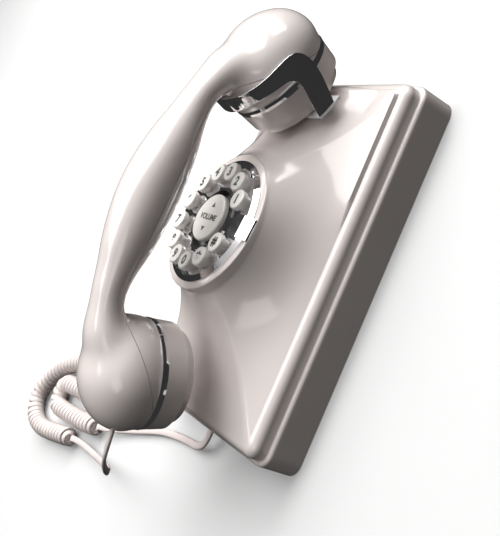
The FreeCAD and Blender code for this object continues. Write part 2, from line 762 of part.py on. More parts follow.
def body_jack_frame(shape):
    """From a socket's frame to the bottom wall of the case."""
    placed = shape.copy()
    placed.rotate(V(0, 0, 0), V(1, 0, 0), 90)
    placed.translate(V(BODY_JACK_X, -BODY_HEIGHT / 2, JACK_Z))
    return placed


def handset_jack():
    return place_handset(jack_frame(jack_body()))


def handset_plug():
    return place_handset(jack_frame(plug_body()))


def body_jack():
    return body_jack_frame(jack_body())


def body_plug():
    return body_jack_frame(plug_body())


# ================================================================ cradle
def sector(outer, inner, z_low, z_high, a_from, a_to):
    """Part of a ring between two angles in degrees."""
    wedge = Part.makeCylinder(outer, z_high - z_low, V(0, 0, z_low), V(0, 0, 1), a_to - a_from)
    wedge.rotate(V(0, 0, 0), V(0, 0, 1), a_from)
    return wedge.cut(disc(inner, z_low - 1, z_high + 1))


def cradle_yoke():
    band = sector(YOKE_OUTER, YOKE_INNER, YOKE_BAND_LOW, YOKE_BAND_HIGH, -180 - YOKE_LEG_TO, YOKE_LEG_TO)
    leg = sector(YOKE_OUTER, YOKE_INNER, YOKE_BASE_LOW, YOKE_BAND_HIGH, YOKE_LEG_FROM, YOKE_LEG_TO)
    y_low = YOKE_OUTER * math.sin(math.radians(YOKE_LEG_FROM))
    y_high = YOKE_OUTER * math.sin(math.radians(YOKE_LEG_TO))
    reach = math.sqrt(YOKE_OUTER ** 2 - y_low ** 2)
    base = block((-reach, reach), (y_low, y_high), (YOKE_BASE_LOW, YOKE_BASE_TOP))
    base = base.common(disc(YOKE_OUTER, YOKE_BASE_LOW - 1, YOKE_BASE_TOP + 1))
    stem = disc(STEM_RADIUS, STEM_END, YOKE_BASE_LOW)
    return on_ear(fused([band, leg, side(leg), base, stem]))


def cradle_guide():
    outer = STEM_RADIUS + RUN_FIT + GUIDE_WALL
    top = NECK_TOP - FREE_GAP
    sleeve = disc(outer, top - GUIDE_LENGTH, top)
    collar = disc(outer + 2.5, NECK_TOP - SHELL_WALL * 2 - 3.4, NECK_TOP - SHELL_WALL * 2 - 1.4)
    bore = disc(STEM_RADIUS + RUN_FIT, top - GUIDE_LENGTH - 1, top + 1)
    return on_ear(fused([sleeve, collar]).cut(bore))


# ================================================================ inside
def board_corners():
    for sx in (-1, 1):
        for sy in (-1, 1):
            yield sx * (BOARD_WIDTH / 2 - 5), BOARD_Y + sy * (BOARD_HEIGHT / 2 - 5)


def main_board():
    board = block(
        (-BOARD_WIDTH / 2, BOARD_WIDTH / 2),
        (BOARD_Y - BOARD_HEIGHT / 2, BOARD_Y + BOARD_HEIGHT / 2),
        (BOARD_Z, BOARD_Z + BOARD_THICK))
    for x, y in board_corners():
        board = board.cut(disc(SCREW_RADIUS, BOARD_Z - 1, BOARD_Z + 3, x, y))
    return board


def board_screws():
    top = BOARD_Z + BOARD_THICK
    screws = []
    for x, y in board_corners():
        head = disc(SCREW_HEAD_RADIUS, top, top + 1.8, x, y)
        shank = disc(SCREW_RADIUS - 0.3, CASE_WALL + 1, top, x, y)
        screws.append(fused([head, shank]))
    return group(screws)


def board_parts():
    """Chips and capacitors on the main board."""
    top = BOARD_Z + BOARD_THICK
    long, wide, tall = CHIP_SIZE
    chips = [block((x, x + long), (y, y + wide), (top, top + tall)) for x, y in CHIP_CORNERS]
    cans = [disc(CAN_RADIUS, top, top + CAN_HEIGHT, x, y) for x, y in CAN_PLACES]
    return group(chips + cans)


def steel_weight():
    w, h, t = WEIGHT_SIZE
    return block((-w / 2, w / 2), (WEIGHT_Y - h / 2, WEIGHT_Y + h / 2), (CASE_WALL, CASE_WALL + t))


def ringer():
    z = BOARD_Z + BOARD_THICK + RINGER_STANDOFF
    top = z + RINGER_HEIGHT
    body = disc(RINGER_RADIUS, z, top, 0, RINGER_Y)
    return body.cut(disc(RINGER_RADIUS - RINGER_RIM, top - 1.5, top + 1, 0, RINGER_Y))


def ringer_bracket():
    """Bridge that stands on the steel weight and carries the ringer."""
    low = CASE_WALL + WEIGHT_SIZE[2]
    top = BOARD_Z + BOARD_THICK + RINGER_STANDOFF
    along = (RINGER_Y - STRAP_WIDTH / 2, RINGER_Y + STRAP_WIDTH / 2)
    deck = block((-STRAP_HALF_SPAN, STRAP_HALF_SPAN), along, (top - STRAP_SHEET, top))
    leg = block((STRAP_HALF_SPAN - STRAP_LEG, STRAP_HALF_SPAN), along, (low, top))
    return fused([deck, leg, side(leg)])


def line_jack():
    w, h, t = LINE_JACK
    wall = 2.0
    y_low, y_high = LINE_JACK_Y - h / 2, LINE_JACK_Y + h / 2
    shell = block((-w / 2, w / 2), (y_low, y_high), (0.4, BOARD_Z))
    mouth = block((wall - w / 2, w / 2 - wall), (y_low + wall, y_high - wall), (-1, BOARD_Z - wall))
    return shell.cut(mouth)


def ringer_switch():
    """Slide knob in the bottom wall, at the end of its travel."""
    y = -BODY_HEIGHT / 2
    x = SWITCH_X - SWITCH_TRAVEL / 2
    back = y + CASE_WALL + BUTTON_GAP
    knob = block(
        (x - KNOB_HALF, x + KNOB_HALF), (y - 1.6, back), (JACK_Z - KNOB_HALF, JACK_Z + KNOB_HALF))
    plate = block((x - 3.0, x + 3.0), (back, back + 1.2), (JACK_Z - 3.4, JACK_Z + 3.4))
    return fused([knob, plate])


def switch_body():
    y = -BODY_HEIGHT / 2 + CASE_WALL + BUTTON_GAP + 1.2 + BUTTON_GAP
    body = block((SWITCH_X - 8, SWITCH_X + 8), (y, y + 6), (CASE_WALL, JACK_Z + 4))
    return body


# ================================================================ hook lever
def nose_centre():
    """Middle of the lever's nose, under the yoke's stem, as (y, z)."""
    return ear_point(0, STEM_END - FREE_GAP - NOSE_RADIUS)


def lever_pin_centre():
    y, z = nose_centre()
    return y - LEVER_REACH, z - 2.0


def across(radius, half_width, centre):
    """Cylinder along X about a (y, z) centre."""
    return Part.makeCylinder(radius, half_width * 2, V(-half_width, *centre), V(1, 0, 0))


def hook_lever():
    nose_y, nose_z = nose_centre()
    pin_y, pin_z = lever_pin_centre()
    half = LEVER_WIDTH / 2
    t = LEVER_THICK / 2
    line = [
        (pin_y - LEVER_TAIL, pin_z - t),
        (pin_y, pin_z - t),
        (nose_y, nose_z - t),
        (nose_y, nose_z + t),
        (pin_y, pin_z + t),
        (pin_y - LEVER_TAIL, pin_z + t),
    ]
    corners = [V(-half, y, z) for y, z in line]
    arm = Part.Face(Part.makePolygon(corners + corners[:1])).extrude(V(LEVER_WIDTH, 0, 0))
    hub = across(LEVER_HUB, half, (pin_y, pin_z))
    nose = across(NOSE_RADIUS, half, (nose_y, nose_z))
    bore = across(HOOK_PIN_RADIUS + RUN_FIT, LEVER_WIDTH, (pin_y, pin_z))
    return fused([arm, hub, nose]).cut(bore)


def hook_pin():
    return across(HOOK_PIN_RADIUS, LEVER_WIDTH / 2 + FREE_GAP + CHEEK_THICK, lever_pin_centre())


def hook_bracket():
    """Two cheeks on the board that carry the lever's pin."""
    y, z = lever_pin_centre()
    inner = LEVER_WIDTH / 2 + FREE_GAP
    floor = BOARD_Z + BOARD_THICK
    cheeks = []
    for s in (-1, 1):
        low, high = sorted((s * inner, s * (inner + CHEEK_THICK)))
        cheeks.append(block((low, high), (y - 5, y + 5), (floor, z + LEVER_HUB)))
    base = block((-inner - CHEEK_THICK, inner + CHEEK_THICK), (y - 5, y + 5), (floor, floor + CHEEK_THICK))
    bore = across(HOOK_PIN_RADIUS, LEVER_WIDTH, (y, z))
    return fused(cheeks + [base]).cut(bore)


def hook_switch():
    """Contact block under the lever's tail."""
    y, z = lever_pin_centre()
    drop = YOKE_TRAVEL * LEVER_TAIL / LEVER_REACH
    top = z - LEVER_THICK / 2 - drop - FREE_GAP
    tail_y = y - LEVER_TAIL
    body = block((-6, 6), (tail_y - 7, tail_y + 6), (BOARD_Z + BOARD_THICK, top - 2))
    plunger = disc(1.5, top - 2, top, 0, tail_y + 1)
    return fused([body, plunger])


def hook_spring():
    """Coil spring that pushes the lever's nose up."""
    y, z = nose_centre()
    high = z - LEVER_THICK - NOSE_RADIUS - FREE_GAP
    low = CASE_WALL + SPRING_WIRE
    height = high - low
    helix = Part.makeHelix(height / SPRING_TURNS, height, SPRING_RADIUS)
    wire = Part.Wire(helix.Edges)
    profile = Part.Wire([Part.Circle(V(SPRING_RADIUS, 0, 0), V(0, 1, 0), SPRING_WIRE).toShape()])
    coil = wire.makePipeShell([profile], True, True)
    coil.translate(V(0, y - NOSE_RADIUS, low))
    return coil


# ================================================================ cord
def bend_radii(points):
    radii = []
    for before, here, after in zip(points, points[1:], points[2:]):
        turn = (here - before).getAngle(after - here)
        shorter = min(before.distanceToPoint(here), here.distanceToPoint(after))
        radii.append(RUN_SHARE * shorter / math.tan(turn / 2))
    return radii


def cord_path(points):
    """Straight runs joined by tangent arcs."""
    edges = []
    start = points[0]
    for before, here, after in zip(points, points[1:], points[2:]):
        back = (before - here).normalize()
        on = (after - here).normalize()
        reach = RUN_SHARE * min(before.distanceToPoint(here), here.distanceToPoint(after))
        first = here + back * reach
        last = here + on * reach
        half_turn = (here - before).getAngle(after - here) / 2
        middle_out = reach * math.tan(half_turn / 2)
        middle = here + (back + on).normalize() * middle_out
        edges.append(Part.LineSegment(start, first).toShape())
        edges.append(Part.Arc(first, middle, last).toShape())
        start = last
    edges.append(Part.LineSegment(start, points[-1]).toShape())
    return Part.Wire(edges)


def tube(points, diameter, name):
    """Round tube along the route, printing how true its sweep came out."""
    path = cord_path(points)
    heading = points[1] - points[0]
    section = Part.Wire([Part.Circle(points[0], heading, diameter / 2).toShape()])
    cord = path.makePipeShell([section], True, False)
    expected = math.pi * diameter ** 2 / 4 * path.Length
    print("%s: length %.1f, volume over section times length %.4f, radii %s" % (
        name, path.Length, cord.Volume / expected, ", ".join("%.0f" % r for r in bend_radii(points))))
    return cord


def below_foot(route):
    """Points (x, y, z) of a route given by its distances below the foot of the case."""
    return [V(x, -BODY_HEIGHT / 2 - below, z) for x, below, z in route]


def plug_end():
    """Where a tail begins, just clear of its plug, in the socket's frame."""
    return Part.Vertex(0, 0, PLUG_STANDOUT + FREE_GAP)


def body_tail():
    start = body_jack_frame(plug_end()).Point
    return tube([start] + below_foot(BODY_TAIL_ROUTE), TAIL_DIAMETER, "body_tail")


def curly_cord():
    return tube(below_foot(CURL_ROUTE), CURL_DIAMETER, "curly_cord")


def handset_tail():
    end = place_handset(jack_frame(plug_end())).Point
    return tube(below_foot(HANDSET_TAIL_ROUTE) + [end], TAIL_DIAMETER, "handset_tail")


PIECES = {
    "rear_case": rear_case,
    "front_housing": front_housing,
    "case_screws": case_screws,
    "dial_plate": dial_plate,
    "dial_carrier": dial_carrier,
    "key_mat": key_mat,
    "key_board": key_board,
    "rocker_well": rocker_well,
    "rocker_pin": rocker_pin,
    "volume_rocker": volume_rocker,
    "rocker_trim": rocker_trim,
    "finger_stop": finger_stop,
    "handset_outer_shell": handset_outer_shell,
    "handset_inner_shell": handset_inner_shell,
    "handset_weight": handset_weight,
    "handset_jack": handset_jack,
    "cradle_yoke": cradle_yoke,
    "cradle_guide": cradle_guide,
    "main_board": main_board,
    "board_screws": board_screws,
    "board_parts": board_parts,
    "steel_weight": steel_weight,
    "ringer": ringer,
    "ringer_bracket": ringer_bracket,
    "line_jack": line_jack,
    "body_jack": body_jack,
    "ringer_switch": ringer_switch,
    "switch_body": switch_body,
    "handset_plug": handset_plug,
    "body_plug": body_plug,
    "hook_lever": hook_lever,
    "hook_pin": hook_pin,
    "hook_bracket": hook_bracket,
    "hook_switch": hook_switch,
    "hook_spring": hook_spring,
    "body_tail": body_tail,
    "curly_cord": curly_cord,
    "handset_tail": handset_tail,
}

if __name__ == "__main__":
    os.makedirs("parts", exist_ok=True)
    shapes = {name: make() for name, make in PIECES.items()}
    for number, (x, y) in enumerate(button_places(), start=1):
        shapes["button_%02d" % number] = button(x, y)
    ear_rings = [(1, 0.0), (6, 6.0), (12, 12.0)]
    mouth_rings = [(6, 5.0), (12, 10.5), (18, 16.0)]
    shapes["ear_cap"] = sound_cap(1, ear_rings)
    shapes["mouth_cap"] = sound_cap(-1, mouth_rings)
    shapes["ear_ring"] = chrome_ring(1)
    shapes["mouth_ring"] = chrome_ring(-1)
    shapes["receiver_capsule"] = capsule(1, 22.0, 9.0)
    shapes["transmitter_capsule"] = capsule(-1, 20.0, 8.0)
    for name, shape in shapes.items():
        print("%-22s solids %d valid %s volume %.0f" % (
            name, len(shape.Solids), shape.isValid(), shape.Volume))
        shape.exportStep("parts/%s.step" % name)
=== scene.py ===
"""Looks of the push-button wall telephone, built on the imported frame.

The telephone lies on its back: +X is its right, +Y its top, +Z away from its back. Metres.
"""
import math

import bmesh
import bpy
import numpy as np
from mathutils import Matrix, Vector


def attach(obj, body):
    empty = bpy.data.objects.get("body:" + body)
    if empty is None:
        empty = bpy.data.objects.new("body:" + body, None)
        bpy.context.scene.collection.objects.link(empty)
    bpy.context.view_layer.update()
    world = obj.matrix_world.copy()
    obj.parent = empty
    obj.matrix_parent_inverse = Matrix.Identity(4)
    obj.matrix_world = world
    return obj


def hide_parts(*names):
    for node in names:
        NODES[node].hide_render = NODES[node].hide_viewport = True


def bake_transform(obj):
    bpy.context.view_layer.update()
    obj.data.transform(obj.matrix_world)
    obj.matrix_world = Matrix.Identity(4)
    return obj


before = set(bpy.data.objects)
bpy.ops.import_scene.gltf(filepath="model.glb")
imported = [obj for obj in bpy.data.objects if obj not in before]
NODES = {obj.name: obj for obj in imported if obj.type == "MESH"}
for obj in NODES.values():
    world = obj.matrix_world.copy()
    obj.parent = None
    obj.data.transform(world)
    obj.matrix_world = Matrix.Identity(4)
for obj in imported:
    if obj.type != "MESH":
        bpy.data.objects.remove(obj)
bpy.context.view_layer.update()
MM = 0.001

# the sizes that the visual pieces share with the CAD model, in millimetres
BODY_WIDTH = 138.0
BODY_HEIGHT = 220.0
CORNER_RADIUS = 9.0
CASE_DEPTH = 18.0
RIM_Z = 22.0
TIER_Z = 32.0
TIER_INSET = 2.6
DIAL_CENTRE = (0.0, 2.0, 72.3)
DIAL_TILT = 4.5
BEZEL_RADIUS = 42.0
BEZEL_TOP = -2.6
SEAT_RADIUS = 36.0
HANDSET_SPAN = 185.4
HANDSET_PLACE = (0.0, -0.1, 74.1)
HANDSET_PITCH = -1.2
CAP_TILT = 14.5
YOKE_INNER = 34.0
BAND_CLEAR = 16.2
SEAM_GAP = 0.4
SHELL_WALL = 1.8
CAP_RADIUS = 31.0
BALL_RADIUS = 32.6
BALL_SHOULDER = 8.0
BALL_HEIGHT = 33.0
BUTTON_RING = 27.9
BUTTON_TOP = 5.4
ROCKER_TOP = 2.6

# the cord's route, with the same points as the CAD solids, in metres
BODY_TAIL = [
    (-0.0100, -0.1121, 0.0095),
    (-0.0110, -0.1200, 0.0083),
    (-0.0220, -0.1275, 0.0049),
    (-0.0440, -0.1295, 0.0027),
    (-0.0720, -0.1345, 0.0027),
    (-0.1040, -0.1460, 0.0028),
    (-0.1340, -0.1570, 0.0046),
]
CURLY_LENGTH = [
    (-0.1520, -0.1624, 0.0077),
    (-0.1750, -0.1674, 0.0077),
    (-0.1980, -0.1705, 0.0077),
    (-0.2210, -0.1735, 0.0077),
    (-0.2420, -0.1748, 0.0077),
    (-0.2426, -0.1546, 0.0077),
    (-0.2220, -0.1524, 0.0077),
    (-0.2040, -0.1496, 0.0077),
    (-0.1855, -0.1478, 0.0077),
    (-0.1850, -0.1284, 0.0077),
    (-0.2060, -0.1276, 0.0077),
    (-0.2320, -0.1330, 0.0077),
    (-0.2580, -0.1450, 0.0077),
    (-0.2790, -0.1620, 0.0077),
    (-0.2880, -0.1810, 0.0077),
    (-0.2760, -0.1960, 0.0077),
    (-0.2540, -0.1990, 0.0077),
    (-0.2300, -0.1945, 0.0077),
    (-0.2070, -0.1890, 0.0077),
    (-0.1870, -0.1846, 0.0077),
]
HANDSET_TAIL = [
    (-0.1710, -0.1824, 0.0066),
    (-0.1450, -0.1816, 0.0056),
    (-0.1130, -0.1780, 0.0115),
    (-0.0780, -0.1715, 0.0260),
    (-0.0440, -0.1630, 0.0455),
    (-0.0175, -0.1515, 0.0640),
    (-0.0020, -0.1385, 0.0742),
    (0.0000, -0.1267, 0.0765),
]
CURL_DIAMETER = 0.0150
RIBBON_WIDTH = 0.0050
RIBBON_THICK = 0.0024
CURL_PITCH = 0.0060
CURL_STEPS = 18         # points in each turn
CURL_EASE = 1.6         # turns over which the curls grow from the flat tail
CORD_SIDES = 12
RIBBON_EDGES = (0.7, 0.8)   # how square the ribbon's section is, across and through


# ================================================================ camera, floor and light
CAMERA_PLACE = Vector((0.42098, -0.03211, 0.29529))
CAMERA_TARGET = Vector((-0.00460, -0.01396, 0.03347))
CAMERA_ROLL = -65.26
CAMERA_LENS = 61.23
SENSOR_WIDTH = 36.0
# the world's light: its level from straight away from the bright ceiling (0) to straight at it (1)
CEILING_DIRECTION = (-0.05, 0.42, 0.90)
WORLD_LEVELS = [(0.0, 0.035), (0.50, 0.03), (0.785, 0.04), (0.87, 0.50), (1.0, 1.0)]
WORLD_TINT = (1.0, 0.985, 0.975)
FLOOR_REACH = 6.0
FLOOR_GREYS = (0.54, 0.56)
FLOOR_GLOW = 0.14
# name, place, target, size in metres, watts
LIGHTS = [
    ("overhead", (-0.45, 0.30, 1.10), (0, -0.02, 0.03), (1.5, 1.3), 23.0),
    ("top_side", (-0.15, 1.05, 0.75), (0, 0.0, 0.05), (0.9, 0.6), 10.5),
    ("camera_fill", (0.60, -0.60, 1.10), (0, -0.03, 0.05), (0.5, 0.5), 1.5),
]


def turn_x(degrees):
    return Matrix.Rotation(math.radians(degrees), 4, "X")


def aimed(place, target):
    """Rotation that points a camera or a light at its target."""
    return (Vector(target) - Vector(place)).to_track_quat("-Z", "Y").to_matrix().to_4x4()


def make_camera():
    data = bpy.data.cameras.new("photo_camera")
    data.sensor_fit = "HORIZONTAL"
    data.sensor_width = SENSOR_WIDTH
    data.lens = CAMERA_LENS
    data.clip_start = 0.01
    data.clip_end = 20.0
    camera = bpy.data.objects.new("photo_camera", data)
    bpy.context.scene.collection.objects.link(camera)
    roll = Matrix.Rotation(math.radians(CAMERA_ROLL), 4, "Z")
    camera.matrix_world = Matrix.Translation(CAMERA_PLACE) @ aimed(CAMERA_PLACE, CAMERA_TARGET) @ roll
    bpy.context.scene.camera = camera


def add_area(name, place, target, size, power):
    data = bpy.data.lights.new(name, "AREA")
    data.shape = "RECTANGLE"
    data.size, data.size_y = size
    data.energy = power
    light = bpy.data.objects.new(name, data)
    bpy.context.scene.collection.objects.link(light)
    light.matrix_world = Matrix.Translation(place) @ aimed(place, target)


def make_world():
    """Soft studio surroundings: a bright ceiling that reaches down at the top, dark walls."""
    world = bpy.data.worlds.new("studio")
    bpy.context.scene.world = world
    world.use_nodes = True
    tree = world.node_tree
    tree.nodes.clear()
    place = tree.nodes.new("ShaderNodeTexCoord")
    dot = tree.nodes.new("ShaderNodeVectorMath")
    dot.operation = "DOT_PRODUCT"
    dot.inputs[1].default_value = CEILING_DIRECTION
    ramp = tree.nodes.new("ShaderNodeValToRGB")
    ramp.color_ramp.interpolation = "EASE"
    ramp.color_ramp.elements[0].position = WORLD_LEVELS[0][0]
    ramp.color_ramp.elements[1].position = WORLD_LEVELS[-1][0]
    for position, _ in WORLD_LEVELS[1:-1]:
        ramp.color_ramp.elements.new(position)
    for element, (_, level) in zip(ramp.color_ramp.elements, WORLD_LEVELS):
        element.color = (*(level * tint for tint in WORLD_TINT), 1.0)
    span = tree.nodes.new("ShaderNodeMapRange")
    span.inputs["From Min"].default_value = -1.0
    background = tree.nodes.new("ShaderNodeBackground")
    out = tree.nodes.new("ShaderNodeOutputWorld")
    tree.links.new(place.outputs["Generated"], dot.inputs[0])
    tree.links.new(dot.outputs["Value"], span.inputs["Value"])
    tree.links.new(span.outputs["Result"], ramp.inputs["Fac"])
    tree.links.new(ramp.outputs["Color"], background.inputs["Color"])
    tree.links.new(background.outputs["Background"], out.inputs["Surface"])


def make_stage():
    """White floor that lights nothing and isn't mirrored, and the lamps over it."""
    mesh = bpy.data.meshes.new("floor")
    sides = [(-1, -1), (1, -1), (1, 1), (-1, 1)]
    mesh.from_pydata([(x * FLOOR_REACH, y * FLOOR_REACH, 0) for x, y in sides], [], [(0, 1, 2, 3)])
    floor = bpy.data.objects.new("floor", mesh)
    bpy.context.scene.collection.objects.link(floor)
    floor.visible_diffuse = False
    floor.visible_glossy = False
    material = new_material("floor_paper")
    shader = material["shader"]
    shader.inputs["Roughness"].default_value = 0.9
    shader.inputs["Specular IOR Level"].default_value = 0.1
    mottle(material, *((grey, grey, grey) for grey in FLOOR_GREYS), 3.0)
    shader.inputs["Emission Color"].default_value = (1.0, 1.0, 1.0, 1.0)
    shader.inputs["Emission Strength"].default_value = FLOOR_GLOW
    mesh.materials.append(material["material"])
    for light in LIGHTS:
        add_area(*light)


# ================================================================ materials
CASING_WHITE = (0.76, 0.695, 0.67)
KEY_WHITE = (0.82, 0.79, 0.755)
PLUG_WHITE = (0.72, 0.69, 0.66)
GUIDE_WHITE = (0.60, 0.585, 0.56)
CHROME_TINT = (0.90, 0.90, 0.92)
STEEL_TINTS = ((0.48, 0.48, 0.47), (0.62, 0.62, 0.61))
CORD_TINTS = ((0.66, 0.585, 0.56), (0.74, 0.665, 0.64))
# painted shade: the darker colour that the cord's crevices are blended towards
CORD_PAINTED_SHADE = (0.30, 0.25, 0.24, 1.0)
BLACK_PLASTIC = (0.022, 0.022, 0.024)
RUBBER_BLACK = (0.09, 0.09, 0.095)
INK_BLACK = (0.02, 0.02, 0.022)


def new_material(name):
    """A new Principled material, with its node tree and its shader."""
    material = bpy.data.materials.new(name)
    material.use_nodes = True
    tree = material.node_tree
    return {"material": material, "tree": tree, "shader": tree.nodes["Principled BSDF"]}


def object_noise(material, scale, detail=4.0, stretch=(1.0, 1.0, 1.0)):
    """Noise in the piece's own coordinates; scale is in features per metre."""
    tree = material["tree"]
    place = tree.nodes.new("ShaderNodeTexCoord")
    mapping = tree.nodes.new("ShaderNodeMapping")
    mapping.inputs["Scale"].default_value = stretch
    noise = tree.nodes.new("ShaderNodeTexNoise")
    noise.inputs["Scale"].default_value = scale
    noise.inputs["Detail"].default_value = detail
    tree.links.new(place.outputs["Object"], mapping.inputs["Vector"])
    tree.links.new(mapping.outputs["Vector"], noise.inputs["Vector"])
    return noise


def mottle(material, colour_a, colour_b, scale):
    """Base colour that drifts between two near colours."""
    tree = material["tree"]
    noise = object_noise(material, scale)
    ramp = tree.nodes.new("ShaderNodeValToRGB")
    ramp.color_ramp.elements[0].position = 0.3
    ramp.color_ramp.elements[1].position = 0.7
    ramp.color_ramp.elements[0].color = (*colour_a, 1.0)
    ramp.color_ramp.elements[1].color = (*colour_b, 1.0)
    tree.links.new(noise.outputs["Fac"], ramp.inputs["Fac"])
    tree.links.new(ramp.outputs["Color"], material["shader"].inputs["Base Color"])
    return ramp


def vary_roughness(material, low, high, scale):
    """Roughness that drifts between low and high."""
    tree = material["tree"]
    noise = object_noise(material, scale, 6.0)
    span = tree.nodes.new("ShaderNodeMapRange")
    span.inputs["From Min"].default_value = 0.3
    span.inputs["From Max"].default_value = 0.7
    span.inputs["To Min"].default_value = low
    span.inputs["To Max"].default_value = high
    tree.links.new(noise.outputs["Fac"], span.inputs["Value"])
    tree.links.new(span.outputs["Result"], material["shader"].inputs["Roughness"])


def add_bump(material, scale, strength, distance, stretch=(1.0, 1.0, 1.0)):
    """Fine relief; distance is its depth in metres."""
    tree = material["tree"]
    noise = object_noise(material, scale, 3.0, stretch)
    bump = tree.nodes.new("ShaderNodeBump")
    bump.inputs["Strength"].default_value = strength
    bump.inputs["Distance"].default_value = distance
    tree.links.new(noise.outputs["Fac"], bump.inputs["Height"])
    tree.links.new(bump.outputs["Normal"], material["shader"].inputs["Normal"])


def gloss_plastic(name, colour, roughness=0.16, coat=0.6):
    """Moulded plastic with a clear, glossy skin."""
    material = new_material(name)
    shader = material["shader"]
    mottle(material, tuple(c * 0.955 for c in colour), colour, 22.0)
    vary_roughness(material, roughness * 0.75, roughness * 1.35, 55.0)
    shader.inputs["Coat Weight"].default_value = coat
    shader.inputs["Coat Roughness"].default_value = 0.06
    shader.inputs["Subsurface Weight"].default_value = 0.04
    shader.inputs["Subsurface Radius"].default_value = (0.004, 0.003, 0.002)
    add_bump(material, 900.0, 0.05, 0.00004)
    return material["material"]


def matte_plastic(name, colour, roughness=0.45):
    """Plastic, rubber or ink with a fine grain."""
    material = new_material(name)
    mottle(material, tuple(c * 0.8 for c in colour), colour, 60.0)
    vary_roughness(material, roughness * 0.8, roughness * 1.25, 120.0)
    add_bump(material, 2600.0, 0.25, 0.00006)
    return material["material"]


def chrome(name):
    """Polished plate, with faint drawn lines."""
    material = new_material(name)
    material["shader"].inputs["Metallic"].default_value = 1.0
    mottle(material, tuple(c * 0.96 for c in CHROME_TINT), CHROME_TINT, 35.0)
    vary_roughness(material, 0.025, 0.07, 180.0)
    add_bump(material, 700.0, 0.04, 0.00003, stretch=(1.0, 1.0, 6.0))
    return material["material"]


def steel(name):
    """Dull zinc-plated steel."""
    material = new_material(name)
    material["shader"].inputs["Metallic"].default_value = 1.0
    mottle(material, *STEEL_TINTS, 90.0)
    vary_roughness(material, 0.24, 0.42, 400.0)
    add_bump(material, 1800.0, 0.3, 0.00005, stretch=(1.0, 8.0, 1.0))
    return material["material"]


def circuit_board(name):
    """Green lacquer over faint copper tracks."""
    material = new_material(name)
    tree = material["tree"]
    place = tree.nodes.new("ShaderNodeTexCoord")
    brick = tree.nodes.new("ShaderNodeTexBrick")
    brick.inputs["Scale"].default_value = 160.0
    brick.inputs["Color1"].default_value = (0.025, 0.13, 0.06, 1.0)
    brick.inputs["Color2"].default_value = (0.03, 0.16, 0.07, 1.0)
    brick.inputs["Mortar"].default_value = (0.10, 0.24, 0.10, 1.0)
    tree.links.new(place.outputs["Object"], brick.inputs["Vector"])
    tree.links.new(brick.outputs["Color"], material["shader"].inputs["Base Color"])
    vary_roughness(material, 0.25, 0.4, 200.0)
    add_bump(material, 900.0, 0.2, 0.00005)
    return material["material"]


def vinyl_sleeve(name):
    """Soft satin vinyl of the cord, with painted shade that greys its base colour in its hollows."""
    material = new_material(name)
    ramp = mottle(material, *CORD_TINTS, 60.0)
    tree = material["tree"]
    # painted shade: the occlusion node darkens the base colour in the coil's crevices, where shade
    # falls
    painted_occlusion = tree.nodes.new("ShaderNodeAmbientOcclusion")
    painted_occlusion.inputs["Distance"].default_value = 0.002
    painted_occlusion.samples = 4
    shade = tree.nodes.new("ShaderNodeMix")
    shade.data_type = "RGBA"
    shade.inputs["A"].default_value = CORD_PAINTED_SHADE
    tree.links.new(painted_occlusion.outputs["AO"], shade.inputs["Factor"])
    tree.links.new(ramp.outputs["Color"], shade.inputs["B"])
    tree.links.new(shade.outputs["Result"], material["shader"].inputs["Base Color"])
    vary_roughness(material, 0.28, 0.42, 140.0)
    material["shader"].inputs["Subsurface Weight"].default_value = 0.05
    material["shader"].inputs["Subsurface Radius"].default_value = (0.002, 0.0015, 0.001)
    add_bump(material, 1500.0, 0.12, 0.00005)
    return material["material"]


def paint_nodes():
    """Give every CAD node its material; returns those that the visual pieces share."""
    casing = gloss_plastic("casing_plastic", CASING_WHITE)
    hand = gloss_plastic("handset_plastic", CASING_WHITE)
    keys = gloss_plastic("key_plastic", KEY_WHITE, roughness=0.2, coat=0.3)
    dark = matte_plastic("dark_plastic", BLACK_PLASTIC, roughness=0.35)
    guide = matte_plastic("guide_plastic", GUIDE_WHITE)
    rubber = matte_plastic("keypad_rubber", RUBBER_BLACK, roughness=0.6)
    board = circuit_board("circuit_board")
    metal = steel("zinc_steel")
    bright = chrome("bright_chrome")
    plug = gloss_plastic("plug_plastic", PLUG_WHITE, roughness=0.25, coat=0.2)
    finishes = {
        casing: ["rear_case", "front_housing"],
        hand: ["handset_outer_shell", "handset_inner_shell", "ear_cap", "mouth_cap"],
        keys: ["volume_rocker"] + ["button_%02d" % n for n in range(1, 13)],
        dark: [
            "rocker_well", "dial_carrier", "switch_body", "hook_switch", "ringer", "receiver_capsule",
            "transmitter_capsule", "line_jack", "body_jack", "handset_jack", "hook_lever",
            "ringer_switch", "board_parts",
        ],
        guide: ["cradle_guide"],
        rubber: ["key_mat"],
        board: ["key_board", "main_board"],
        metal: [
            "case_screws", "board_screws", "hook_pin", "rocker_pin", "hook_spring", "hook_bracket",
            "ringer_bracket", "steel_weight", "handset_weight",
        ],
        bright: ["dial_plate", "rocker_trim", "finger_stop", "cradle_yoke", "ear_ring", "mouth_ring"],
        plug: ["body_plug", "handset_plug"],
    }
    for material, names in finishes.items():
        for name in names:
            mesh = NODES[name].data
            mesh.materials.clear()
            mesh.materials.append(material)
    return {"casing": casing, "handset": hand, "chrome": bright}


# ================================================================ mesh helpers
def link(name, mesh, material=None):
    """A new object in the scene for a mesh."""
    obj = bpy.data.objects.new(name, mesh)
    bpy.context.scene.collection.objects.link(obj)
    if material is not None:
        mesh.materials.append(material)
    return obj


def mesh_object(name, points, faces, material=None):
    mesh = bpy.data.meshes.new(name)
    mesh.from_pydata([tuple(p) for p in points], [], faces)
    mesh.update()
    return link(name, mesh, material)


def applied(obj):
    """The object with its modifiers worked into its mesh."""
    depsgraph = bpy.context.evaluated_depsgraph_get()
    mesh = bpy.data.meshes.new_from_object(obj.evaluated_get(depsgraph))
    obj.modifiers.clear()
    old = obj.data
    obj.data = mesh
    bpy.data.meshes.remove(old)
    return obj


def smooth_by_angle(obj, degrees):
    """Smooth shading, with edges sharper than the angle kept crisp."""
    obj.data.shade_smooth()
    obj.data.set_sharp_from_angle(angle=math.radians(degrees))


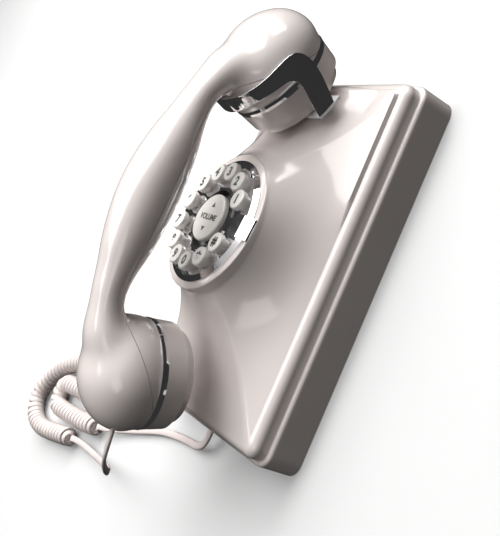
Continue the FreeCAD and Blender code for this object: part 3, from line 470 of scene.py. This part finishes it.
def rings_to_faces(rows, columns):
    """Quads between rows of points; columns run round and close on themselves."""
    faces = []
    for r in range(rows - 1):
        here = r * columns
        after = here + columns
        for c in range(columns):
            nxt = (c + 1) % columns
            faces.append((here + c, here + nxt, after + nxt, after + c))
    return faces


# ================================================================ cord
def spline_line(points):
    """Points along the NURBS spline that has the route's points as its control points."""
    curve = bpy.data.curves.new("route", "CURVE")
    curve.dimensions = "3D"
    curve.resolution_u = 24
    spline = curve.splines.new("NURBS")
    spline.points.add(len(points) - 1)
    for point, place in zip(spline.points, points):
        point.co = (*place, 1.0)
    spline.order_u = 3
    spline.use_endpoint_u = True
    holder = bpy.data.objects.new("route", curve)
    bpy.context.scene.collection.objects.link(holder)
    depsgraph = bpy.context.evaluated_depsgraph_get()
    line = bpy.data.meshes.new_from_object(holder.evaluated_get(depsgraph))
    places = np.array([tuple(v.co) for v in line.vertices])
    bpy.data.objects.remove(holder)
    bpy.data.meshes.remove(line)
    return places


def even_steps(places, step):
    """The same line with points a step apart, and each one's distance along it."""
    lengths = np.linalg.norm(np.diff(places, axis=0), axis=1)
    along = np.concatenate([[0.0], np.cumsum(lengths)])
    count = int(round(along[-1] / step)) + 1
    wanted = np.linspace(0.0, along[-1], count)
    spread = np.stack([np.interp(wanted, along, places[:, k]) for k in range(3)], axis=1)
    return spread, wanted


def unit(vectors):
    return vectors / np.linalg.norm(vectors, axis=-1, keepdims=True)


def nearest_along(places, along, point):
    return along[np.argmin(np.linalg.norm(places - np.array(point), axis=1))]


def curled_line():
    """Centreline of the whole cord, and which way the ribbon's width points all along it."""
    step = CURL_PITCH / CURL_STEPS
    places, along = even_steps(spline_line(BODY_TAIL + CURLY_LENGTH + HANDSET_TAIL), step)
    first = nearest_along(places, along, CURLY_LENGTH[0])
    last = nearest_along(places, along, CURLY_LENGTH[-1])
    heading = unit(np.gradient(places, axis=0))
    sideways = unit(np.cross(heading, (0.0, 0.0, 1.0)))
    upward = np.cross(sideways, heading)
    ramp = CURL_PITCH * CURL_EASE
    swell = np.clip(np.minimum(along - first, last - along) / ramp, 0.0, 1.0)
    swell = swell * swell * (3 - 2 * swell)
    radius = (CURL_DIAMETER - RIBBON_THICK) / 2 * swell
    angle = 2 * math.pi * (along - first) / CURL_PITCH
    radial = np.cos(angle)[:, None] * sideways + np.sin(angle)[:, None] * upward
    line = places + radial * radius[:, None]
    flat_side = unit(sideways * (1 - swell)[:, None] + heading * swell[:, None])
    return line, flat_side


def make_cord():
    """The ribbon, swept along the centreline."""
    line, flat_side = curled_line()
    tangent = unit(np.gradient(line, axis=0))
    wide = unit(flat_side - tangent * np.sum(flat_side * tangent, axis=1, keepdims=True))
    thin = unit(np.cross(tangent, wide))
    points = []
    for k in range(CORD_SIDES):
        turn = 2 * math.pi * k / CORD_SIDES
        c, s = math.cos(turn), math.sin(turn)
        across = RIBBON_WIDTH / 2 * math.copysign(abs(c) ** RIBBON_EDGES[0], c)
        through = RIBBON_THICK / 2 * math.copysign(abs(s) ** RIBBON_EDGES[1], s)
        points.append(line + wide * across + thin * through)
    points = np.stack(points, axis=1)
    faces = rings_to_faces(len(line), CORD_SIDES)
    last_ring = (len(line) - 1) * CORD_SIDES
    faces.append(tuple(reversed(range(CORD_SIDES))))
    faces.append(tuple(range(last_ring, last_ring + CORD_SIDES)))
    cord = mesh_object("cord", points.reshape(-1, 3), faces, vinyl_sleeve("cord_vinyl"))
    cord.data.shade_smooth()
    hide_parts("body_tail", "curly_cord", "handset_tail")
    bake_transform(cord)


# ================================================================ handset
# distance from the handle's middle, rise, half width, half thickness; the last lies in the end
HANDLE_STATIONS = [
    (0.0, 39.5, 18.5, 16.4),
    (16.0, 39.2, 18.0, 15.5),
    (32.0, 38.6, 16.2, 13.2),
    (46.0, 37.8, 13.6, 10.2),
    (58.0, 36.4, 12.8, 8.8),
    (69.0, 33.0, 15.0, 9.6),
    (80.0, 27.6, 19.0, 12.4),
    (91.0, 19.5, 20.0, 11.5),
]
# distance from the handle's middle, height of the seam between the two shells
SEAM_POINTS = [
    (0.0, 35.5),
    (32.0, 34.6),
    (52.0, 32.5),
    (60.0, 30.5),
    (68.0, 25.5),
    (106.3, -3.5),
    (125.0, -17.0),
]
HANDSET_FRAME = Matrix.Translation(HANDSET_PLACE) @ turn_x(HANDSET_PITCH)
DOME_COLUMNS = 96
HANDLE_COLUMNS = 72
HANDLE_ROWS = 81
SKIN_CELL = 1.0         # size of the cells that melt handle and ends into one skin
NECK_PLACE = (80.0, 32.0)   # where the handle runs into an end: distance from the middle, height
END_ZONE = 40.0         # beyond this distance from the middle, a point belongs to an end
BAND_AIR = 0.9
BAND_REACH = (5.0, 6.0)     # how far outside and above the band the skin is still held in
BAND_EASE = 1.6


def end_frame(end):
    """Frame of a handset end, +1 ear or -1 mouth: its ring's plane is z = 0."""
    return Matrix.Translation((0.0, HANDSET_SPAN / 2 * end, 0.0)) @ turn_x(-CAP_TILT * end)


def to_metres(obj, matrix):
    """Place a mesh that was made in millimetres in its own frame."""
    obj.data.transform(Matrix.Diagonal((MM, MM, MM, 1.0)) @ matrix)
    return obj


def dome_points():
    """Profile of a handset end from under its ring plane nearly to the top, as (radius, z)."""
    profile = [(CAP_RADIUS, -4.0), (CAP_RADIUS, 0.0)]
    rise = BALL_HEIGHT - BALL_SHOULDER
    for i in range(18):
        t = math.radians(5.0 * i)
        profile.append((BALL_RADIUS * math.cos(t), BALL_SHOULDER + rise * math.sin(t)))
    return profile


def make_dome(end):
    profile = dome_points()
    points = []
    for radius, z in profile:
        for c in range(DOME_COLUMNS):
            turn = 2 * math.pi * c / DOME_COLUMNS
            points.append(Vector((radius * math.cos(turn), radius * math.sin(turn), z)))
    faces = rings_to_faces(len(profile), DOME_COLUMNS)
    points.append(Vector((0.0, 0.0, BALL_HEIGHT)))
    top = len(points) - 1
    start = (len(profile) - 1) * DOME_COLUMNS
    faces += [(start + c, start + (c + 1) % DOME_COLUMNS, top) for c in range(DOME_COLUMNS)]
    faces.append(tuple(reversed(range(DOME_COLUMNS))))
    matrix = end_frame(end)
    return mesh_object("end_dome", [matrix @ p for p in points], faces)


def handle_station(distance):
    """(rise, half width, half thickness) of the handle at a distance from its middle.

    Cubic arcs run through the stations. The arc before the last one is carried on to the
    handle's end, which is hidden inside the dome.
    """
    d = abs(distance)
    table = [(-s[0], *s[1:]) for s in reversed(HANDLE_STATIONS[1:])] + HANDLE_STATIONS
    ys = [s[0] for s in table]
    i = min(int(np.searchsorted(ys, d)) - 1, len(ys) - 3)
    arc = ys[i + 1] - ys[i]
    t = (d - ys[i]) / arc
    values = []
    for k in range(1, 4):
        before, start, end, after = (table[j][k] for j in range(i - 1, i + 3))
        leaving = (end - before) / (ys[i + 1] - ys[i - 1]) * arc
        arriving = (after - start) / (ys[i + 2] - ys[i]) * arc
        h = (2 * t ** 3 - 3 * t ** 2 + 1) * start + (t ** 3 - 2 * t ** 2 + t) * leaving
        values.append(h + (3 * t ** 2 - 2 * t ** 3) * end + (t ** 3 - t ** 2) * arriving)
    return values


def make_handle():
    """Oval sections square to the handle's middle line, capped at both ends."""
    reach = HANDLE_STATIONS[-1][0]
    ys = np.linspace(-reach, reach, HANDLE_ROWS)
    stations = [handle_station(y) for y in ys]
    points = []
    for i, y in enumerate(ys):
        rise, half_width, half_thick = stations[i]
        before, after = max(i - 1, 0), min(i + 1, len(ys) - 1)
        slope = math.atan2(stations[after][0] - stations[before][0], ys[after] - ys[before])
        for c in range(HANDLE_COLUMNS):
            turn = 2 * math.pi * c / HANDLE_COLUMNS
            through = half_thick * math.sin(turn)
            points.append(Vector((
                half_width * math.cos(turn),
                y - through * math.sin(slope),
                rise + through * math.cos(slope),
            )))
    faces = rings_to_faces(len(ys), HANDLE_COLUMNS)
    last_ring = (len(ys) - 1) * HANDLE_COLUMNS
    faces.append(tuple(range(HANDLE_COLUMNS)))
    faces.append(tuple(reversed(range(last_ring, last_ring + HANDLE_COLUMNS))))
    return mesh_object("handle", points, faces)


def joined(objects):
    """One object made of them all, under the first one's name."""
    with bpy.context.temp_override(
            active_object=objects[0], selected_editable_objects=objects, selected_objects=objects):
        bpy.ops.object.join()
    return objects[0]


def soften(obj, rounds, strength, inside):
    """Smooth the mesh where inside(points) says, from 0 to 1."""
    mesh = obj.data
    co = np.empty(len(mesh.vertices) * 3)
    mesh.vertices.foreach_get("co", co)
    co = co.reshape(-1, 3)
    edges = np.empty(len(mesh.edges) * 2, dtype=np.int64)
    mesh.edges.foreach_get("vertices", edges)
    edges = edges.reshape(-1, 2)
    weight = inside(co)[:, None] * strength
    count = np.bincount(edges.ravel(), minlength=len(co)).astype(float)[:, None]
    for _ in range(rounds):
        total = np.zeros_like(co)
        np.add.at(total, edges[:, 0], co[edges[:, 1]])
        np.add.at(total, edges[:, 1], co[edges[:, 0]])
        co = co + (total / np.maximum(count, 1.0) - co) * weight
    mesh.vertices.foreach_set("co", co.ravel())
    mesh.update()


def near_neck(co):
    """1 where the handle runs into an end, easing to 0.12 elsewhere."""
    off = np.abs(np.abs(co[:, 1]) - NECK_PLACE[0]) + np.abs(co[:, 2] - NECK_PLACE[1]) * 0.3
    return np.clip(1.5 - off / 20.0, 0.12, 1.0)


def everywhere(co):
    return np.ones(len(co))


def clear_of_yoke(obj):
    """Hold the skin round the ear inside the cradle's band."""
    limit = YOKE_INNER - BAND_AIR
    to_ear = end_frame(1).inverted()
    back = end_frame(1)
    for vertex in obj.data.vertices:
        if vertex.co.y < END_ZONE:
            continue
        local = to_ear @ vertex.co
        reach = math.hypot(local.x, local.y)
        allowed = limit + max(0.0, local.z - BAND_CLEAR) * BAND_EASE
        near_band = reach < limit + BAND_REACH[0] and local.z < BAND_CLEAR + BAND_REACH[1]
        if near_band and reach > allowed:
            local.x *= allowed / reach
            local.y *= allowed / reach
            vertex.co = back @ local
    obj.data.update()


def halved(edit, centre, normal, vertices):
    """Cut away what lies behind a plane, among these vertices of the mesh being edited."""
    inside = set(vertices)
    edges = [e for e in edit.edges if e.verts[0] in inside and e.verts[1] in inside]
    faces = [f for f in edit.faces if all(v in inside for v in f.verts)]
    bmesh.ops.bisect_plane(
        edit, geom=list(inside) + edges + faces, plane_co=centre, plane_no=normal, clear_inner=True)


def cut_ring_planes(obj):
    """Open the two ends where they meet their chrome rings."""
    edit = bmesh.new()
    edit.from_mesh(obj.data)
    for end in (1, -1):
        matrix = end_frame(end)
        normal = matrix.to_3x3() @ Vector((0.0, 0.0, 1.0))
        halved(edit, matrix.translation, normal, [v for v in edit.verts if v.co.y * end > END_ZONE])
    edit.to_mesh(obj.data)
    edit.free()
    obj.data.update()


def seam_rise(y):
    """Height of the seam at y along the handset."""
    return float(np.interp(abs(y), *zip(*SEAM_POINTS)))


def shell_half(obj, upward):
    """The skin on one side of the seam, as a mesh; the seam is flattened while it is cut."""
    mesh = obj.data.copy()
    edit = bmesh.new()
    edit.from_mesh(mesh)
    for vertex in edit.verts:
        vertex.co.z -= seam_rise(vertex.co.y)
    level = Vector((0.0, 0.0, SEAM_GAP / 2 * upward))
    halved(edit, level, Vector((0.0, 0.0, upward)), edit.verts)
    for vertex in edit.verts:
        vertex.co.z += seam_rise(vertex.co.y)
    edit.to_mesh(mesh)
    edit.free()
    return mesh


def make_handset(material):
    """The two halves of the handset's shell, melted from handle and ends and cut at the seam."""
    body = joined([make_handle(), make_dome(1), make_dome(-1)])
    remesh = body.modifiers.new("skin", "REMESH")
    remesh.mode = "VOXEL"
    remesh.voxel_size = SKIN_CELL
    applied(body)
    soften(body, 110, 0.7, near_neck)
    clear_of_yoke(body)
    soften(body, 8, 0.4, everywhere)
    cut_ring_planes(body)
    for upward, node in ((1, "handset_outer_shell"), (-1, "handset_inner_shell")):
        mesh = shell_half(body, upward)
        mesh.materials.clear()
        shell = link(node + "_skin", mesh, material)
        wall = shell.modifiers.new("wall", "SOLIDIFY")
        wall.thickness = SHELL_WALL
        wall.offset = -1.0
        applied(shell)
        to_metres(shell, HANDSET_FRAME)
        smooth_by_angle(shell, 40.0)
        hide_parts(node)
        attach(shell, "handset")
    bpy.data.objects.remove(body)


# ================================================================ cradle
EAR_FRAME = HANDSET_FRAME @ end_frame(1)
YOKE_RADIUS = 34.9
YOKE_SHEET = 1.8
YOKE_EDGE_ROUND = 0.55
YOKE_ROWS = 12
PLATE_SPAN = (-12.6, 3.1)
PLATE_Z = (-23.9, -22.1)
PLATE_EDGE_ROUND = 0.5
PLATE_STEPS = 10
STEM_RADIUS = 4.0
STEM_Z = (-38.9, -23.4)
STEM_COLUMNS = 48
# outline of half the yoke, unrolled: degrees from the right side towards the bottom, height
YOKE_TOP = [
    (90.0, 17.0),
    (75.0, 15.8),
    (60.0, 14.8),
    (45.0, 14.7),
    (34.0, 14.9),
    (22.0, 15.4),
    (9.0, 15.5),
    (2.0, 14.2),
    (-3.0, 11.7),
    (-6.2, 7.6),
    (-7.4, 2.0),
    (-6.0, -5.0),
    (-3.0, -11.5),
    (0.0, -17.0),
    (2.0, -22.2),
]
YOKE_BOTTOM = [
    (90.0, 6.0),
    (75.0, 6.3),
    (60.0, 6.7),
    (48.0, 6.7),
    (37.0, 6.2),
    (27.0, 5.7),
    (20.0, 5.0),
    (16.6, 3.0),
    (14.6, 0.0),
    (15.2, -4.0),
    (16.6, -8.0),
    (18.2, -12.0),
    (19.4, -16.0),
    (20.4, -19.5),
    (21.0, -22.2),
]


def between(a, b, share):
    """The point that lies a share of the way from a to b."""
    return tuple(p + (q - p) * share for p, q in zip(a, b))


def refined(line, rounds):
    """Chaikin's corner cutting, ends kept."""
    for _ in range(rounds):
        cut = [line[0]]
        for a, b in zip(line, line[1:]):
            cut += [between(a, b, 0.25), between(a, b, 0.75)]
        line = cut + [line[-1]]
    return line


def wrapped(place, radius):
    """A point of the unrolled outline, rolled round the ear's axis."""
    degrees, z = place
    turn = math.radians(degrees)
    return (radius * math.cos(turn), -radius * math.sin(turn), z)


def make_yoke(material):
    """Polished cradle: a sheet wrapped round the ear end, with its two legs and their plate."""
    columns = []
    for a, b in zip(refined(YOKE_TOP, 2), refined(YOKE_BOTTOM, 2)):
        columns.append([between(a, b, k / YOKE_ROWS) for k in range(YOKE_ROWS + 1)])
    mirror = [[(180.0 - degrees, z) for degrees, z in column] for column in columns[1:]]
    columns = list(reversed(mirror)) + columns
    points = [wrapped(place, YOKE_RADIUS) for column in columns for place in column]
    count = YOKE_ROWS + 1
    faces = []
    for i in range(len(columns) - 1):
        for k in range(YOKE_ROWS):
            a = i * count + k
            faces.append((a, a + 1, a + count + 1, a + count))
    band = mesh_object("cradle_yoke_skin", points, faces, material)
    sheet = band.modifiers.new("sheet", "SOLIDIFY")
    sheet.thickness = YOKE_SHEET
    sheet.offset = 0.0
    edge = band.modifiers.new("edge", "BEVEL")
    edge.width = YOKE_EDGE_ROUND
    edge.segments = 4
    edge.limit_method = "ANGLE"
    applied(band)
    yoke = joined([band, yoke_plate(), yoke_stem()])
    to_metres(yoke, EAR_FRAME)
    smooth_by_angle(yoke, 45.0)
    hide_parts("cradle_yoke")
    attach(yoke, "cradle")


def yoke_plate():
    """Plate under the ear's cap that joins the two legs, cut from a disc."""
    low, high = PLATE_SPAN
    radius = YOKE_RADIUS + YOKE_SHEET / 2
    right = []
    for k in range(PLATE_STEPS + 1):
        y = low + (high - low) * k / PLATE_STEPS
        right.append((math.sqrt(radius ** 2 - y ** 2), y))
    outline = right + [(-x, y) for x, y in reversed(right)]
    count = len(outline)
    points = [(x, y, z) for z in PLATE_Z for x, y in outline]
    faces = [tuple(reversed(range(count))), tuple(range(count, 2 * count))]
    faces += [(i, (i + 1) % count, (i + 1) % count + count, i + count) for i in range(count)]
    plate = mesh_object("plate", points, faces)
    edge = plate.modifiers.new("edge", "BEVEL")
    edge.width = PLATE_EDGE_ROUND
    edge.segments = 3
    return applied(plate)


def yoke_stem():
    """Round stem that slides in the cradle's guide."""
    points = []
    for z in STEM_Z:
        for c in range(STEM_COLUMNS):
            turn = 2 * math.pi * c / STEM_COLUMNS
            points.append((STEM_RADIUS * math.cos(turn), STEM_RADIUS * math.sin(turn), z))
    faces = rings_to_faces(2, STEM_COLUMNS)
    faces.append(tuple(reversed(range(STEM_COLUMNS))))
    faces.append(tuple(range(STEM_COLUMNS, 2 * STEM_COLUMNS)))
    return mesh_object("stem", points, faces)


# ================================================================ front housing
CASE_WALL = 1.6
RIM_ROUND = 2.0
RIM_STEP = 0.25         # small step where the upper tier rises out of the rim
TIER_EDGE_ROUND = 6.0
TIER_EDGE_SQUASH = 0.85
FRONT_COLUMNS = 320
FRONT_ROWS = 44
CORNER_COLUMNS = 41     # extra directions at each corner,
CORNER_FAN = 0.10       # to this angle on either side of it,
LEAST_TURN = 0.0012     # and none closer to the next than this
BOSS_DROP = 3.4         # from the dial's plane to the top of the boss's slope
# the saddle's crest: distance above the middle of the case, height
NECK_LINE = [
    (24.0, 66.2),
    (44.0, 61.5),
    (58.0, 55.5),
    (69.6, 52.2),
    (86.0, 47.6),
    (98.0, 42.5),
    (104.0, 34.0),
]
NECK_START = 18.0
NECK_FADE = 20.0
NECK_BLEND = 9.0


def dial_matrix():
    """Frame of the dial: its centre, with z square to its plate."""
    return Matrix.Translation(DIAL_CENTRE) @ turn_x(-DIAL_TILT)


def outline_point(inset, turn):
    """Point of the casing's rounded outline, set in by inset, in the direction turn from the dial."""
    half_x, half_y = BODY_WIDTH / 2 - inset, BODY_HEIGHT / 2 - inset
    radius = max(CORNER_RADIUS - inset * 0.6, 3.0)
    c, s = math.cos(turn), math.sin(turn)
    origin_y = DIAL_CENTRE[1]
    low, high = 0.0, 200.0
    for _ in range(40):
        middle = (low + high) / 2
        x, y = abs(middle * c), abs(origin_y + middle * s)
        dx, dy = x - (half_x - radius), y - (half_y - radius)
        outside = math.hypot(max(dx, 0.0), max(dy, 0.0)) + min(max(dx, dy), 0.0) > radius
        low, high = (low, middle) if outside else (middle, high)
    return low


def front_turns():
    """Directions round the dial, closer together towards the case's corners."""
    above = math.atan2(BODY_HEIGHT / 2 - DIAL_CENTRE[1], BODY_WIDTH / 2)
    below = math.atan2(BODY_HEIGHT / 2 + DIAL_CENTRE[1], BODY_WIDTH / 2)
    turns = list(np.linspace(0.0, 2 * math.pi, FRONT_COLUMNS, endpoint=False))
    for corner in (above, math.pi - above, math.pi + below, 2 * math.pi - below):
        turns += [corner + d for d in np.linspace(-CORNER_FAN, CORNER_FAN, CORNER_COLUMNS)]
    turns = sorted(t % (2 * math.pi) for t in turns)
    kept = [turns[0]]
    for t in turns[1:]:
        if t - kept[-1] > LEAST_TURN:
            kept.append(t)
    return kept


def neck_height(x, y):
    """Height of the saddle that runs from the dial up to the cradle."""
    crest = np.interp(y, *zip(*NECK_LINE))
    spread = 14.0 + 4.0 * max(0.0, min(1.0, (y - 40.0) / 40.0))
    away = max(0.0, abs(x) - spread) / 30.0
    return crest - (crest - TIER_Z) * min(1.0, away ** 1.6 * 1.15)


def tent_height(t, side_share):
    """Height of the front between the tier's edge (t = 0) and the boss (t = 1)."""
    boss = DIAL_CENTRE[2] + BEZEL_TOP - BOSS_DROP
    linear = 0.50 + 0.12 * side_share
    rise = linear * t + (1.0 - linear) * t ** 3.4
    return TIER_Z + (boss - TIER_Z) * rise


def smooth_max(a, b, width):
    """The greater of a and b, with the crease between them rounded over a width."""
    h = max(0.0, min(1.0, 0.5 + 0.5 * (a - b) / width))
    return b + (a - b) * h + width * h * (1.0 - h)


def edge_profile():
    """(inset, height) up the side, over the rounded rim, then up and over the tier's edge."""
    profile = [(0.0, CASE_DEPTH), (0.0, RIM_Z - RIM_ROUND)]
    for i in range(1, 7):
        a = math.radians(15.0 * i)
        height = RIM_Z - RIM_ROUND + RIM_ROUND * math.sin(a)
        profile.append((RIM_ROUND - RIM_ROUND * math.cos(a), height))
    profile += [(TIER_INSET - RIM_STEP, RIM_Z - 0.05), (TIER_INSET, RIM_Z + RIM_STEP)]
    reach = TIER_EDGE_ROUND
    drop = reach * TIER_EDGE_SQUASH
    profile.append((TIER_INSET, TIER_Z - drop))
    for i in range(1, 10):
        a = math.radians(9.0 * i)
        profile.append((TIER_INSET + reach - reach * math.cos(a), TIER_Z - drop + drop * math.sin(a)))
    return profile


def sloped_row(t, start, turns):
    """Row of the front a share t of the way from the tier's edge, (inset, height), to the boss."""
    start_inset, start_z = start
    row = []
    for turn in turns:
        r_out = outline_point(start_inset, turn)
        r = r_out + (BEZEL_RADIUS - r_out) * t
        x, y = r * math.cos(turn), DIAL_CENTRE[1] + r * math.sin(turn)
        z = tent_height(t, abs(math.cos(turn)) ** 2) - (TIER_Z - start_z) * (1.0 - t)
        if y > NECK_START:
            fade = min(1.0, (y - NECK_START) / NECK_FADE)
            saddle = smooth_max(neck_height(x, y), z, NECK_BLEND)
            z = z + (saddle - z) * fade * min(1.0, (1.0 - t) * 8.0)
        row.append((x, y, z))
    return row


def housing_rows(turns):
    """Rows of points from the foot of the rim, over the front, to the dial's seat."""
    rows = []
    profile = edge_profile()
    for inset, z in profile:
        row = []
        for turn in turns:
            r = outline_point(inset, turn)
            row.append((r * math.cos(turn), DIAL_CENTRE[1] + r * math.sin(turn), z))
        rows.append(row)
    for j in range(1, FRONT_ROWS + 1):
        rows.append(sloped_row(j / FRONT_ROWS, profile[-1], turns))
    bezel = [
        (BEZEL_RADIUS, -BOSS_DROP),
        (BEZEL_RADIUS - 0.2, BEZEL_TOP - 0.3),
        (BEZEL_RADIUS - 0.7, BEZEL_TOP),
        (SEAT_RADIUS, BEZEL_TOP),
    ]
    plate = dial_matrix()
    for r, z in bezel:
        rows.append([tuple(plate @ Vector((r * math.cos(t), r * math.sin(t), z))) for t in turns])
    return rows


def make_front_housing(material):
    """The case's front, from its rounded rim to the dial's seat, as a wall of even thickness."""
    turns = front_turns()
    rows = housing_rows(turns)
    points = [p for row in rows for p in row]
    skin = mesh_object("front_housing_skin", points, rings_to_faces(len(rows), len(turns)), material)
    wall = skin.modifiers.new("wall", "SOLIDIFY")
    wall.thickness = CASE_WALL
    wall.offset = -1.0
    applied(skin)
    to_metres(skin, Matrix.Identity(4))
    smooth_by_angle(skin, 50.0)
    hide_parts("front_housing")
    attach(skin, "telephone")


# ================================================================ marks on the keys
MARKS = ["1", "2", "3", "4", "5", "6", "7", "8", "9", "0", "*", "#"]
DIGIT_SIZE = 7.4
STAR_SIZE = 11.0
WORD_SIZE = 4.6
INK_DEPTH = 0.04
ARROW_PLACE = 7.4       # from the rocker's middle
ARROW_HALF_WIDTH = 1.9
ARROW_FOOT = 1.4
ARROW_TIP = 1.7
ARROW_LIFT = 0.05


def make_mark(name, text, size, place, material, body):
    """Printed character or word, centred on a place of the dial."""
    data = bpy.data.curves.new(name, "FONT")
    data.body = text
    data.size = size * MM
    data.extrude = INK_DEPTH * MM
    data.offset = 0.045 * MM * size
    data.align_x = "CENTER"
    data.align_y = "CENTER"
    data.materials.append(material)
    mark = bpy.data.objects.new(name, data)
    bpy.context.scene.collection.objects.link(mark)
    depsgraph = bpy.context.evaluated_depsgraph_get()
    mesh = bpy.data.meshes.new_from_object(mark.evaluated_get(depsgraph))
    bpy.data.objects.remove(mark)
    points = np.array([tuple(v.co) for v in mesh.vertices])
    centre = (points.max(axis=0) + points.min(axis=0)) / 2
    mesh.transform(Matrix.Translation(Vector((*(-centre[:2]), 0.0))))
    piece = link(name, mesh)
    dial = dial_matrix()
    dial.translation = dial.translation * MM
    mesh.transform(dial @ Matrix.Translation(Vector(place) * MM))
    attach(piece, body)


def make_arrow(name, direction, material):
    """Arrowhead on the rocker that points to the dial's top (1) or foot (-1)."""
    y = ARROW_PLACE * direction
    z = ROCKER_TOP + ARROW_LIFT
    foot, tip = y - ARROW_FOOT * direction, y + ARROW_TIP * direction
    corners = [(-ARROW_HALF_WIDTH, foot), (ARROW_HALF_WIDTH, foot), (0.0, tip)]
    points = [(*c, z - INK_DEPTH) for c in corners] + [(*c, z) for c in corners]
    faces = [(0, 1, 2), (5, 4, 3), (0, 3, 4, 1), (1, 4, 5, 2), (2, 5, 3, 0)]
    piece = mesh_object(name, points, faces, material)
    to_metres(piece, dial_matrix())
    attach(piece, "volume_rocker")


def make_marks():
    ink = matte_plastic("mark_ink", INK_BLACK, roughness=0.4)
    for number, text in enumerate(MARKS, start=1):
        turn = math.radians(number * 360.0 / 13.0)
        size = STAR_SIZE if text == "*" else DIGIT_SIZE
        place = (BUTTON_RING * math.cos(turn), BUTTON_RING * math.sin(turn), BUTTON_TOP)
        make_mark("mark_%02d" % number, text, size, place, ink, "button_%02d" % number)
    make_mark("mark_volume", "VOLUME", WORD_SIZE, (0.0, 0.0, ROCKER_TOP), ink, "volume_rocker")
    make_arrow("mark_louder", 1, ink)
    make_arrow("mark_quieter", -1, ink)


# ================================================================ the scene
bpy.context.scene.view_settings.view_transform = "Standard"
make_camera()
make_cord()
make_world()
make_stage()
finish = paint_nodes()
make_handset(finish["handset"])
make_yoke(finish["chrome"])
make_front_housing(finish["casing"])
make_marks()
